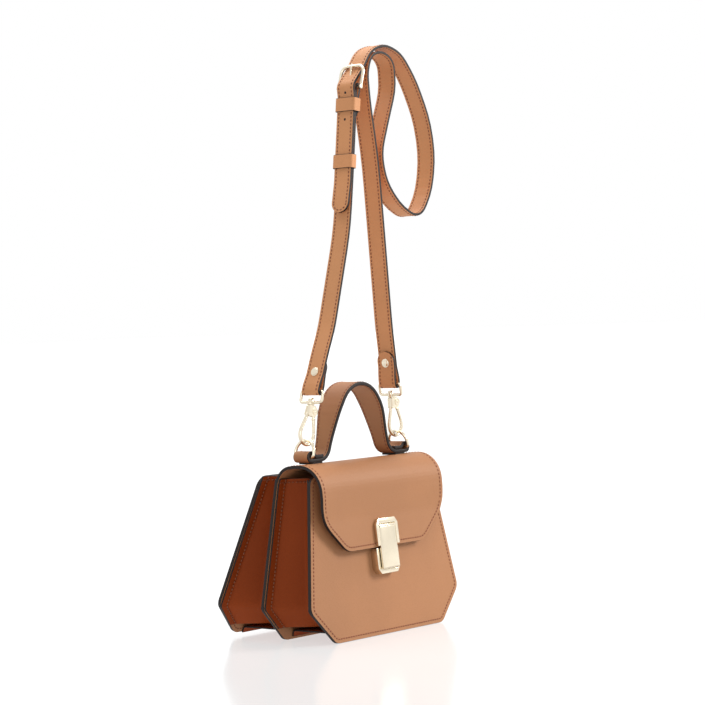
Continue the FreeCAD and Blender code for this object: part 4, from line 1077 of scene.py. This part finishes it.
def handle_path(sign):
    """One side of the handle: from the crown down, out along the foot and round the ring's bar."""
    loop = RING_WIRE + WIRE_FIT + HANDLE_THICK / 2
    out, over, back = RING_BAR[0] + loop, RING_BAR[1] + loop, RING_BAR[0] - loop
    tab = FOOT_Z + HANDLE_THICK + 0.1
    points = HANDLE_LEG + [(out, FOOT_Z), (out, over), (back - 0.4, over), (back - HANDLE_THICK, tab),
                           (back - HANDLE_TAB, tab)]
    radii = HANDLE_BENDS + [loop, loop, HANDLE_THICK, HANDLE_THICK]
    return rounded([(sign * x, z) for x, z in points], radii, step=1.0)


def handle_half(z):
    share = min(1.0, max(0.0, (z - NARROW_Z) / SWELL_TALL))
    return NARROW_HALF + HANDLE_SWELL * share * share * (3 - 2 * share)


def make_handle():
    """The top handle in one strap: tab, ring, foot, arch and the same again."""
    line = Path(handle_path(-1)[::-1] + handle_path(1)[1:])
    strap_piece("handle_leather", line, lambda at: handle_half(line.at(at)[1]), HANDLE_THICK,
                [FINISHES["leather"], FINISHES["edge"]], "flap", ["handle"])
    near, far = FOLD_ROW
    rows = strap_rows(line, lambda at: handle_half(line.at(at)[1]), HANDLE_ROW_INSET, HANDLE_THICK, 2.0,
                      line.length - 2.0, hold=[FOLD_ROW, (line.length - far, line.length - near)])
    for x, z in (line.at(1.8), line.at(line.length - 1.8)):
        spots = [Vector((x, HANDLE_Y + (i - 6) * 0.95, z)) for i in range(13)]
        rows.append((spots, [Vector((0, 0, 1))] * 13, HANDLE_THICK + STRAP_STITCH_STAND))
    stitched(rows, "flap", "handle_stitches")
    for side, sign in SIDES.items():
        bm = bmesh.new()
        place = Matrix.Translation((sign * PAD_X, HANDLE_Y, FOOT_Z - HANDLE_THICK / 2 - 0.7))
        bmesh.ops.create_cube(bm, size=1.0, matrix=place @ Matrix.Diagonal((*PAD, 1.0)))
        pad = piece_from(finish_mesh(bm, 0.3), "handle_pad_" + side, [FINISHES["edge"]])
        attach(pad, "flap")
        leather_piece(pad, "smooth_leather")


# ---- wire fittings ------------------------------------------------------------------

def plated(piece, body, *nodes):
    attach(piece, body)
    if nodes:
        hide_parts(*nodes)
    return piece


def moved(bm, matrix):
    bmesh.ops.transform(bm, matrix=matrix, verts=bm.verts)
    return bm


def fitting(bm, name, body, nodes, matrix, finish="gold", bevel=0.0, angle=35.0):
    """A metal piece: merged, bevelled, put in place and given to its body."""
    finish_mesh(bm, bevel, angle)
    moved(bm, matrix)
    piece = piece_from(bm, name, [FINISHES[finish]])
    add_modifier(piece, "EDGE_SPLIT", split_angle=math.radians(50), use_edge_sharp=False)
    return plated(piece, body, *nodes)


def upright(points):
    """Points drawn as (across, up), standing in the plane of the strap's width."""
    return [Vector((0.0, p[0], p[1])) for p in points]


def closed_wire(points, radius):
    """A round wire bent to a closed outline that stands in the plane of the strap's width."""
    return tube(bmesh.new(), wire_stations(upright(points[:-1]), radius, Vector((1, 0, 0)), True), 16, True)


WIRE_STEP = 1.2
SHY = 0.001
RING_HALF, RING_TALL, RING_CORNER = 10.0, 14.3, 2.6


def make_ring(side):
    sign = SIDES[side]
    bend = RING_HALF - SHY
    points = rounded([(0, 0), (RING_HALF, 0), (RING_HALF, RING_TALL), (-RING_HALF, RING_TALL), (-RING_HALF, 0),
                      (0, 0)], [RING_CORNER, bend, bend, RING_CORNER], WIRE_STEP)
    bm = closed_wire(points, RING_WIRE)
    place = Matrix.Translation((sign * RING_BAR[0], HANDLE_Y, RING_BAR[1]))
    place @= Matrix.Rotation(math.radians(-sign * RING_TILT), 4, "Y")
    fitting(bm, "ring_" + side, "d_ring_" + side, ["d_ring_" + side], place)


HOOK_LEAN = {"left": 15.0, "right": -9.0}
BOW = (61.0405, 168.5252)
HEAD_TOP = 30.2
BOSS = 30.32
EYE_LOW, EYE_HIGH = 32.62, 42.42
EYE_HALF, EYE_CORNER = 11.7, 2.4
BOWL = 8.6
BOWL_Z = 5.1
NOSE_ANGLE = 12.0
NOSE_Z = BOWL_Z + BOWL * math.tan(math.radians(NOSE_ANGLE))
HOOK_WIRE = 1.5
CHEEKS = ((-2.5, -0.95), (0.95, 2.5))
PIVOT = (4.2, 25.5)
PIVOT_BOSS, PIVOT_FACE = 3.1, 2.9
PIN_RADIUS, PIN_REACH = 1.1, (2.0, 3.2)
TANG_HALF, TANG_LENGTH = 0.8, 6.5


def hook_matrix(side):
    place = Matrix.Translation((SIDES[side] * BOW[0], HANDLE_Y, BOW[1]))
    return place @ Matrix.Rotation(math.radians(HOOK_LEAN[side]), 4, "Y")


def make_eye(side):
    """The hook's rectangular eye with a turned boss under it."""
    points = rounded([(0, EYE_LOW), (EYE_HALF, EYE_LOW), (EYE_HALF, EYE_HIGH), (-EYE_HALF, EYE_HIGH),
                      (-EYE_HALF, EYE_LOW), (0, EYE_LOW)], [EYE_CORNER] * 4, WIRE_STEP)
    bm = closed_wire(points, EYE_WIRE)
    cylinder(bm, (0, 0, BOSS), (0, 0, BOSS + 1.5), 3.0, 32)
    cylinder(bm, (0, 0, BOSS + 1.4), (0, 0, BOSS + 2.1), 2.5, 32)
    cylinder(bm, (0, 0, BOSS + 2.0), (0, 0, BOSS + 4.6), 3.0, 32, 0.82)
    fitting(bm, "eye_" + side, "hook_eye_" + side, ["hook_eye_" + side], hook_matrix(side), bevel=0.22)


def swell(share):
    """The spine's half thickness: stout round the bowl and slim at the nose."""
    return 1.38 + 0.5 * math.sin(math.pi * min(1.0, share * 1.05)) ** 1.5


def make_hook(side):
    """The swivel hook's body: post, head, pivot bosses, spine, bowl and nose."""
    points = rounded([(-2.5, 22.5), (-BOWL, BOWL_Z + 2.2), (-BOWL, BOWL_Z - BOWL), (BOWL, BOWL_Z - BOWL),
                      (BOWL, NOSE_Z)], [9.0, BOWL - SHY, BOWL - SHY], 0.9)
    line = [Vector((p[0], 0.0, p[1])) for p in points]
    bm = tube(bmesh.new(), wire_stations(line, lambda share: (HOOK_WIRE, swell(share)), Vector((0, 1, 0))), 16)
    head = [(-4.2, 21.0), (5.27, 21.0), (7.4, 25.5), (4.2, HEAD_TOP), (-2.5, HEAD_TOP)]
    for low, high in CHEEKS:
        slab(bm, head, low, high, 1.4)
    slab(bm, [(-4.0, 21.2), (-0.9, 21.2), (-0.9, HEAD_TOP - 0.2), (-2.3, HEAD_TOP - 0.2)], -2.0, 2.0)
    cylinder(bm, (PIVOT[0], -PIVOT_FACE, PIVOT[1]), (PIVOT[0], CHEEKS[0][1], PIVOT[1]), PIVOT_BOSS, 32)
    cylinder(bm, (PIVOT[0], CHEEKS[1][0], PIVOT[1]), (PIVOT[0], PIVOT_FACE, PIVOT[1]), PIVOT_BOSS, 32)
    cylinder(bm, (0, 0, HEAD_TOP - 1), (0, 0, BOSS + 4.7), HOOK_WIRE, 24)
    cylinder(bm, (0, 0, BOSS + 4.72), (0, 0, BOSS + 6.02), 2.7, 32, 0.7)
    fitting(bm, "hook_" + side, "hook_body_" + side, ["hook_body_" + side], hook_matrix(side), bevel=0.25)
    pin = bmesh.new()
    near, far = PIN_REACH
    for way in (-1, 1):
        cylinder(pin, (PIVOT[0], way * near, PIVOT[1]), (PIVOT[0], way * far, PIVOT[1]), PIN_RADIUS, 24)
    fitting(pin, "hook_pin_" + side, "hook_body_" + side, ["hook_gate_pin_" + side], hook_matrix(side), "satin",
            0.2)


def make_gate(side):
    """The sprung gate: eyed tang, collar and round bar down to the nose."""
    pivot = Vector((PIVOT[0], 0, PIVOT[1]))
    tip = Vector((BOWL, 0, NOSE_Z + 0.5))
    way = unit(tip - pivot)
    bm = bmesh.new()
    cylinder(bm, pivot + way * 6.2, tip, HOOK_WIRE, 24, 0.86)
    cylinder(bm, pivot + way * 5.9, pivot + way * 7.4, 1.75, 24)
    cylinder(bm, (pivot.x, -TANG_HALF, pivot.z), (pivot.x, TANG_HALF, pivot.z), 2.4, 28)
    across = Vector((-way.z, 0, way.x)) * 1.3
    end = pivot + way * TANG_LENGTH
    tang = [pivot + across, end + across, end - across, pivot - across]
    slab(bm, [(p.x, p.z) for p in tang], -TANG_HALF, TANG_HALF)
    fitting(bm, "gate_" + side, "hook_gate_" + side, ["hook_gate_" + side], hook_matrix(side), bevel=0.2)


RIVET_RIM, RIVET_CAP = (3.9, 0.75), (3.2, 1.2)
RIVET_TAPER = {"left": 0.94, "right": 0.7}


def make_rivet(side):
    """A double-cap rivet: a flat turned head on the left end and a domed one on the right."""
    lean = math.radians(END_LEAN[side])
    along = Vector((math.sin(lean), 0, math.cos(lean)))
    outward = Vector((-along.z, 0, along.x))
    centre = Vector((EYE_BARS[side][0], HANDLE_Y, EYE_BARS[side][1])) + along * RIVET_UP[side]
    bm = bmesh.new()
    reach = 2 * LAYER - 0.05
    for way in (1, -1):
        face = centre + outward * way * reach
        cylinder(bm, face, face + outward * way * RIVET_RIM[1], RIVET_RIM[0], 36)
        cylinder(bm, face + outward * way * 0.7, face + outward * way * RIVET_CAP[1], RIVET_CAP[0], 36,
                 RIVET_TAPER[side])
    fitting(bm, "rivet_" + side, "strap", ["strap_rivet_" + side], Matrix.Identity(4), bevel=0.2)


def buckle_matrix():
    return (Matrix.Translation((BUCKLE_BAR[0], HANDLE_Y, BUCKLE_BAR[1]))
            @ Matrix.Rotation(math.radians(BUCKLE_LEAN), 4, "Y"))


BUCKLE_HALF, BUCKLE_CORNER = (12.0, 12.4), 6.5
BAR_HALF = 11.6
BAR_END = (9.9, 13.4)
BAR_END_RADIUS = 1.8
PRONG_LEAN = -7.18
PRONG_RADIUS = 1.0
PRONG_EYE = (1.25, 2.2)


def make_buckle():
    """A horseshoe frame, flattened a little, on a bar with swollen ends, and its prong."""
    foot, top = BUCKLE_HALF
    points = rounded([(-foot, 0), (-top, BUCKLE_REACH), (top, BUCKLE_REACH), (foot, 0)], [BUCKLE_CORNER] * 2,
                     1.0)
    bm = tube(bmesh.new(), wire_stations(upright(points), lambda share: BUCKLE_WIRE, Vector((1, 0, 0))), 16)
    cylinder(bm, (0, -BAR_HALF, 0), (0, BAR_HALF, 0), BUCKLE_BAR_RADIUS, 24)
    near, far = BAR_END
    for way in (-1, 1):
        cylinder(bm, (0, way * near, 0), (0, way * far, 0), BAR_END_RADIUS, 28)
    fitting(bm, "buckle", "buckle_frame", ["buckle_frame"], buckle_matrix(), bevel=0.3)
    turn = Matrix.Rotation(math.radians(PRONG_LEAN), 3, "Y")
    prong = bmesh.new()
    cylinder(prong, (0, 0, 1.5), (0, 0, BUCKLE_REACH + 1.4), PRONG_RADIUS, 20, 0.8)
    for vert in prong.verts:
        vert.co = turn @ vert.co
    half, round_eye = PRONG_EYE
    cylinder(prong, (0, -half, 0), (0, half, 0), round_eye, 24)
    fitting(prong, "prong", "buckle_prong", ["buckle_prong"], buckle_matrix(), bevel=0.25)


# ---- lock ---------------------------------------------------------------------------

def front_matrix():
    return (Matrix.Translation((0, FRONT["y"], 0)) @ Matrix.Rotation(math.radians(-FRONT["lean"]), 4, "X"))


LOCK_HALF, LOCK_INNER = 14.5, 11.1
PLATE_UP = (75.427, 98.357)
HOUSING_UP = (51.29, 73.416)
LEVER_UP = (55.313, 93.53)
PIN_UP, PIN_DEEP = 92.03, 8.9
CUT = (3.6, 4.6)
CHANNEL_TOP, CHANNEL_BACK_TOP = 93.83, 94.3


def make_lock_plate():
    """The flap's plate: cut upper corners, a raised border and a channel for the lever."""
    low, high = PLATE_UP
    bm = bmesh.new()
    border = [(LOCK_HALF, low), (LOCK_HALF, high - CUT[1]), (LOCK_HALF - CUT[0], high),
              (-LOCK_HALF + CUT[0], high), (-LOCK_HALF, high - CUT[1]), (-LOCK_HALF, low), (-LOCK_INNER, low),
              (-LOCK_INNER, CHANNEL_TOP), (LOCK_INNER, CHANNEL_TOP), (LOCK_INNER, low)]
    slab(bm, border, -9.7, -6.5)
    slab(bm, [(LOCK_INNER + 0.5, low + 0.05), (LOCK_INNER + 0.5, CHANNEL_BACK_TOP),
              (-LOCK_INNER - 0.5, CHANNEL_BACK_TOP), (-LOCK_INNER - 0.5, low + 0.05)], -7.1, -6.55)
    fitting(bm, "lock_plate", "flap", ["lock_flap_plate"], front_matrix(), bevel=0.55, angle=30)
    pin = bmesh.new()
    for way in (-1, 1):
        cylinder(pin, (way * 11.2, -PIN_DEEP, PIN_UP), (way * 14.56, -PIN_DEEP, PIN_UP), 0.65, 20)
    fitting(pin, "lock_pin", "flap", ["lock_hinge_pin"], front_matrix(), "satin", 0.1)


def make_lever():
    """The flip lever: a thick plate with wide bevels, rounded over its pin, with the tongue behind."""
    bm = bmesh.new()
    half, low = LOCK_INNER - 0.3, LEVER_UP[0]
    slab(bm, [(half, low), (half, PIN_UP + 0.1), (-half, PIN_UP + 0.1), (-half, low)], -10.4, -7.4)
    rim = [e for e in bm.edges if all(v.co.y < -10.39 for v in e.verts)]
    bmesh.ops.bevel(bm, geom=rim, offset=1.15, offset_type="OFFSET", segments=1, profile=0.5, affect="EDGES",
                    material=-1)
    cylinder(bm, (-half, -PIN_DEEP, PIN_UP), (half, -PIN_DEEP, PIN_UP), 1.5, 40)
    slab(bm, [(4.5, 61.35), (4.5, 63.35), (-4.5, 63.35), (-4.5, 61.35)], -7.5, -4.2)
    fitting(bm, "lever_plate", "lever", ["lock_lever"], front_matrix(), bevel=0.22, angle=25)


def make_housing():
    """The body's half: a deep block with cut lower corners, a channel and the tongue's pocket."""
    low, high = HOUSING_UP
    bm = bmesh.new()
    border = [(LOCK_INNER, high), (LOCK_HALF, high), (LOCK_HALF, low + CUT[1]), (LOCK_HALF - CUT[0], low),
              (-LOCK_HALF + CUT[0], low), (-LOCK_HALF, low + CUT[1]), (-LOCK_HALF, high), (-LOCK_INNER, high),
              (-LOCK_INNER, 54.71), (LOCK_INNER, 54.71)]
    slab(bm, border, -7.0, -0.02)
    inner = LOCK_INNER + 0.3
    top, bottom, side = 67.1, 58.65, 5.2
    ring = [[(inner, high - 0.05), (inner, top), (-inner, top), (-inner, high - 0.05)],
            [(inner, bottom), (inner, 54.4), (-inner, 54.4), (-inner, bottom)],
            [(inner, top), (inner, bottom), (side, bottom), (side, top)],
            [(-side, top), (-side, bottom), (-inner, bottom), (-inner, top)]]
    for pattern in ring:
        slab(bm, pattern, -6.2, -0.05)
    slab(bm, [(side + 0.2, top + 0.2), (side + 0.2, bottom - 0.2), (-side - 0.2, bottom - 0.2),
              (-side - 0.2, top + 0.2)], -2.0, -0.1)
    fitting(bm, "lock_body", "bag", ["lock_housing"], front_matrix(), bevel=0.35, angle=60)


def finish_node(node, key):
    """An inner CAD piece that keeps its mesh and takes a finish."""
    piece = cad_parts[node]
    piece.data.materials.clear()
    piece.data.materials.append(FINISHES[key])


# ---- stage --------------------------------------------------------------------------

def aim(piece, position, target):
    piece.location = position
    piece.rotation_euler = (Vector(target) - Vector(position)).to_track_quat("-Z", "Y").to_euler()


def softbox(name, position, target, size, power, colour=(1.0, 1.0, 1.0)):
    data = bpy.data.lights.new(name, "AREA")
    data.shape = "RECTANGLE"
    data.size, data.size_y = size
    data.energy = power
    data.color = colour
    lamp = bpy.data.objects.new(name, data)
    bpy.context.scene.collection.objects.link(lamp)
    aim(lamp, Vector(position) * MM, Vector(target) * MM)
    return lamp


def make_camera(view):
    yaw, pitch, roll = math.radians(view.yaw), math.radians(view.pitch), math.radians(view.roll)
    forward = Vector((math.sin(yaw) * math.cos(pitch), math.cos(yaw) * math.cos(pitch), -math.sin(pitch)))
    right = Vector((math.cos(yaw), -math.sin(yaw), 0.0))
    up = right.cross(forward)
    tilted_right = right * math.cos(roll) + up * math.sin(roll)
    tilted_up = up * math.cos(roll) - right * math.sin(roll)
    data = bpy.data.cameras.new("camera")
    data.lens = view.lens
    data.sensor_width = 36.0
    camera = bpy.data.objects.new("camera", data)
    turn = Matrix((tilted_right, tilted_up, -forward)).transposed().to_4x4()
    camera.matrix_world = Matrix.Translation(Vector(view.position)) @ turn
    bpy.context.scene.collection.objects.link(camera)
    bpy.context.scene.camera = camera
    return camera


def make_world(stage):
    world = bpy.data.worlds.new("studio")
    world.use_nodes = True
    nodes, links = world.node_tree.nodes, world.node_tree.links
    nodes.clear()
    path = nodes.new("ShaderNodeLightPath")
    seen = nodes.new("ShaderNodeBackground")
    seen.inputs["Color"].default_value = (1, 1, 1, 1)
    seen.inputs["Strength"].default_value = 1.0
    fill = nodes.new("ShaderNodeBackground")
    fill.inputs["Color"].default_value = (1, 0.99, 0.975, 1)
    fill.inputs["Strength"].default_value = stage.room_light
    mix = nodes.new("ShaderNodeMixShader")
    clear = path.outputs["Is Camera Ray"]
    for ray in ("Is Glossy Ray", "Is Transmission Ray"):
        either = nodes.new("ShaderNodeMath")
        either.operation = "MAXIMUM"
        links.new(clear, either.inputs[0])
        links.new(path.outputs[ray], either.inputs[1])
        clear = either.outputs[0]
    links.new(clear, mix.inputs[0])
    links.new(fill.outputs[0], mix.inputs[1])
    links.new(seen.outputs[0], mix.inputs[2])
    output = nodes.new("ShaderNodeOutputWorld")
    links.new(mix.outputs[0], output.inputs["Surface"])
    bpy.context.scene.world = world


def make_floor(stage):
    """A plain pale floor, a little polished."""
    bm = bmesh.new()
    bmesh.ops.create_grid(bm, x_segments=1, y_segments=1, size=stage.floor_size / MM / 2)
    n = Nodes("pale_floor")
    patch = n.noise(3.0, 2.0)
    tone = n.mix(patch.band(0.3, 0.7), (0.26, 0.26, 0.26), (0.28, 0.28, 0.28))
    material = n.finish({"Base Color": tone, "Roughness": stage.floor_roughness, "IOR": 1.2,
                         "Emission Color": (1, 1, 1, 1), "Emission Strength": stage.floor_glow})
    return piece_from(bm, "floor", [material], smooth=False)


# ---- settings -----------------------------------------------------------------------

class BagLook(bpy.types.PropertyGroup):
    """Colours and surfaces of the bag."""

    leather_colour: bpy.props.FloatVectorProperty(
        name="Leather", description="Colour of the smooth leather", subtype="COLOR", size=3, min=0.0, max=1.0,
        default=(0.44, 0.2, 0.09))
    # The strap's colour is drawn a lighter tan than the body's leather.
    strap_colour: bpy.props.FloatVectorProperty(
        name="Strap", description="Colour of the strap's leather", subtype="COLOR", size=3, min=0.0, max=1.0,
        default=(0.66, 0.3, 0.13))
    # The gussets' colour is the tan leather painted darker and redder: painted shade of the narrow gaps between
    # the panels and painted reddish bounce light off the leather round them.
    gusset_colour: bpy.props.FloatVectorProperty(
        name="Gussets", description="Colour of the gussets' thinner leather", subtype="COLOR", size=3, min=0.0,
        max=1.0, default=(0.3, 0.052, 0.008))
    edge_colour: bpy.props.FloatVectorProperty(
        name="Edge paint", description="Colour of the painted edges", subtype="COLOR", size=3, min=0.0, max=1.0,
        default=(0.014, 0.009, 0.008))
    thread_colour: bpy.props.FloatVectorProperty(
        name="Thread", description="Colour of the stitches", subtype="COLOR", size=3, min=0.0, max=1.0,
        default=(0.19, 0.05, 0.016))
    metal_colour: bpy.props.FloatVectorProperty(
        name="Plating", description="Colour of the plated fittings", subtype="COLOR", size=3, min=0.0, max=1.0,
        default=(0.82, 0.73, 0.57))
    grain_mm: bpy.props.FloatProperty(
        name="Grain", description="Width of one grain of the leather, in millimetres", min=0.3, max=5.0,
        default=0.9)
    grain_depth: bpy.props.FloatProperty(
        name="Grain depth", description="How deep the leather's grain is", subtype="FACTOR", min=0.0, max=2.0,
        default=0.35)


class BagView(bpy.types.PropertyGroup):
    """The camera."""

    position: bpy.props.FloatVectorProperty(
        name="Position", description="Where the camera stands", subtype="TRANSLATION", unit="LENGTH", size=3,
        default=(-1.5667, -1.3196, 0.2773))
    yaw: bpy.props.FloatProperty(
        name="Yaw", description="Where the camera looks, in degrees from +Y towards +X", default=50.5)
    pitch: bpy.props.FloatProperty(
        name="Pitch", description="How far the camera looks down, in degrees", default=1.05)
    roll: bpy.props.FloatProperty(
        name="Roll", description="How far the camera leans over, in degrees", default=-2.25)
    lens: bpy.props.FloatProperty(
        name="Lens", description="Focal length on a 36 mm sensor", unit="CAMERA", min=10.0, max=500.0,
        default=120.6)


class BagStage(bpy.types.PropertyGroup):
    """The floor and the studio light."""

    room_light: bpy.props.FloatProperty(
        name="Room light", description="Strength of the light from all round", min=0.0, max=5.0,
        default=0.42)
    key_power: bpy.props.FloatProperty(
        name="Key", description="Power of the main softbox", unit="POWER", min=0.0, max=1000.0, default=38.0)
    fill_power: bpy.props.FloatProperty(
        name="Fill", description="Power of the softbox beside the camera", unit="POWER", min=0.0, max=1000.0,
        default=3.0)
    top_power: bpy.props.FloatProperty(
        name="Top", description="Power of the softbox overhead", unit="POWER", min=0.0, max=1000.0,
        default=16.0)
    floor_size: bpy.props.FloatProperty(
        name="Floor", description="Width of the floor", unit="LENGTH", min=0.5, max=100.0, default=40.0)
    floor_roughness: bpy.props.FloatProperty(
        name="Floor roughness", description="How dull the floor is", subtype="FACTOR", min=0.0, max=1.0,
        default=0.16)
    floor_glow: bpy.props.FloatProperty(
        name="Floor glow", description="Light that the pale floor adds of its own", min=0.0, max=2.0,
        default=0.6)


# ---- operators ------------------------------------------------------------------------

class SLINGBAG_OT_finishes(bpy.types.Operator):
    """Make the leathers, the edge paint, the thread and the platings."""

    bl_idname = "slingbag.finishes"
    bl_label = "Make finishes"

    def execute(self, context):
        make_finishes(context.scene.slingbag_look)
        return {"FINISHED"}


class SLINGBAG_OT_panels(bpy.types.Operator):
    """Build the stitched front and back panels and the divider that runs on over the arch as the flap."""

    bl_idname = "slingbag.panels"
    bl_label = "Build panels and flap"

    def execute(self, context):
        make_panel("front_leather", FRONT, PANEL, "front_panel", 1)
        make_panel("back_leather", BACK, BACK_PANEL, "back_panel", -1)
        make_cover()
        return {"FINISHED"}


class SLINGBAG_OT_gussets(bpy.types.Operator):
    """Build the folded side walls and the floors of both compartments."""

    bl_idname = "slingbag.gussets"
    bl_label = "Build gussets"

    def execute(self, context):
        rooms = {"front": (front_inner, divider_inner, 0.0), "rear": (divider_outer, back_inner, REAR_RISE)}
        for room, (front_at, back_at, rise) in rooms.items():
            for side, sign in SIDES.items():
                node = room + "_gusset_" + side
                make_gusset(node + "_leather", front_at, back_at, rise, sign, [node])
            make_bottom(room + "_bottom_leather", front_at, back_at, room + "_gusset_bottom")
        return {"FINISHED"}


class SLINGBAG_OT_handle(bpy.types.Operator):
    """Build the top handle and the D-rings in its folded ends."""

    bl_idname = "slingbag.handle"
    bl_label = "Build handle and rings"

    def execute(self, context):
        make_handle()
        for side in SIDES:
            make_ring(side)
        return {"FINISHED"}


class SLINGBAG_OT_strap(bpy.types.Operator):
    """Build both parts of the shoulder strap with their stitches, holes drawn as painted shade, keepers and
    rivets.
    """

    bl_idname = "slingbag.strap"
    bl_label = "Build shoulder strap"

    def execute(self, context):
        make_straps()
        make_keeper("keeper_fixed", 15.5, 3, "strap", "strap_keeper_fixed")
        make_keeper("keeper_sliding", 65.0, 2, "keeper_sliding", "strap_keeper_sliding")
        for side in SIDES:
            make_rivet(side)
        return {"FINISHED"}


class SLINGBAG_OT_fittings(bpy.types.Operator):
    """Build the swivel hooks and the buckle."""

    bl_idname = "slingbag.fittings"
    bl_label = "Build hooks and buckle"

    def execute(self, context):
        for side in SIDES:
            make_eye(side)
            make_hook(side)
            make_gate(side)
        make_buckle()
        return {"FINISHED"}


class SLINGBAG_OT_lock(bpy.types.Operator):
    """Build the flip lock's plate, lever and housing and finish the pieces behind the leather."""

    bl_idname = "slingbag.lock"
    bl_label = "Build lock"

    def execute(self, context):
        make_lock_plate()
        make_lever()
        make_housing()
        finish_node("lock_catch", "satin")
        for node in ("lock_flap_backplate", "lock_flap_screws", "lock_panel_backplate", "lock_panel_screws"):
            finish_node(node, "steel")
        return {"FINISHED"}


class SLINGBAG_OT_stage(bpy.types.Operator):
    """Set up the floor, the white surroundings, the softboxes and the camera."""

    bl_idname = "slingbag.stage"
    bl_label = "Set up stage"

    def execute(self, context):
        stage = context.scene.slingbag_stage
        make_world(stage)
        key = softbox("key", (1250, -1500, 1150), (0, 0, 170), (0.9, 0.9), stage.key_power, (1.0, 0.98, 0.95))
        fill = softbox("fill", (-1700, -900, 700), (0, 0, 200), (0.8, 0.8), stage.fill_power)
        top = softbox("top", (100, 300, 1500), (0, 0, 100), (1.2, 1.2), stage.top_power)
        make_floor(stage)
        make_camera(context.scene.slingbag_view)
        context.scene.view_settings.view_transform = "Standard"
        return {"FINISHED"}


class SLINGBAG_PT_panel(bpy.types.Panel):
    """The bag's sidebar panel."""

    bl_label = "Sling bag"
    bl_space_type = "VIEW_3D"
    bl_region_type = "UI"
    bl_category = "Sling bag"

    def draw(self, context):
        layout = self.layout
        for group in ("slingbag_look", "slingbag_view", "slingbag_stage"):
            settings = getattr(context.scene, group)
            box = layout.box()
            for name in settings.bl_rna.properties.keys():
                if name not in ("rna_type", "name"):
                    box.prop(settings, name)
        for operator in OPERATORS:
            layout.operator(operator.bl_idname)


OPERATORS = (SLINGBAG_OT_finishes, SLINGBAG_OT_panels, SLINGBAG_OT_gussets, SLINGBAG_OT_handle,
             SLINGBAG_OT_strap, SLINGBAG_OT_fittings, SLINGBAG_OT_lock, SLINGBAG_OT_stage)
GROUPS = {"slingbag_look": BagLook, "slingbag_view": BagView, "slingbag_stage": BagStage}
CLASSES = (*GROUPS.values(), *OPERATORS, SLINGBAG_PT_panel)


def register():
    for item in CLASSES:
        bpy.utils.register_class(item)
    for name, group in GROUPS.items():
        setattr(bpy.types.Scene, name, bpy.props.PointerProperty(type=group))


def unregister():
    for name in GROUPS:
        delattr(bpy.types.Scene, name)
    for item in reversed(CLASSES):
        bpy.utils.unregister_class(item)


def main():
    register()
    for step in (bpy.ops.slingbag.finishes, bpy.ops.slingbag.panels, bpy.ops.slingbag.gussets,
                 bpy.ops.slingbag.handle, bpy.ops.slingbag.strap, bpy.ops.slingbag.fittings,
                 bpy.ops.slingbag.lock, bpy.ops.slingbag.stage):
        step()


if __name__ == "__main__":
    main()
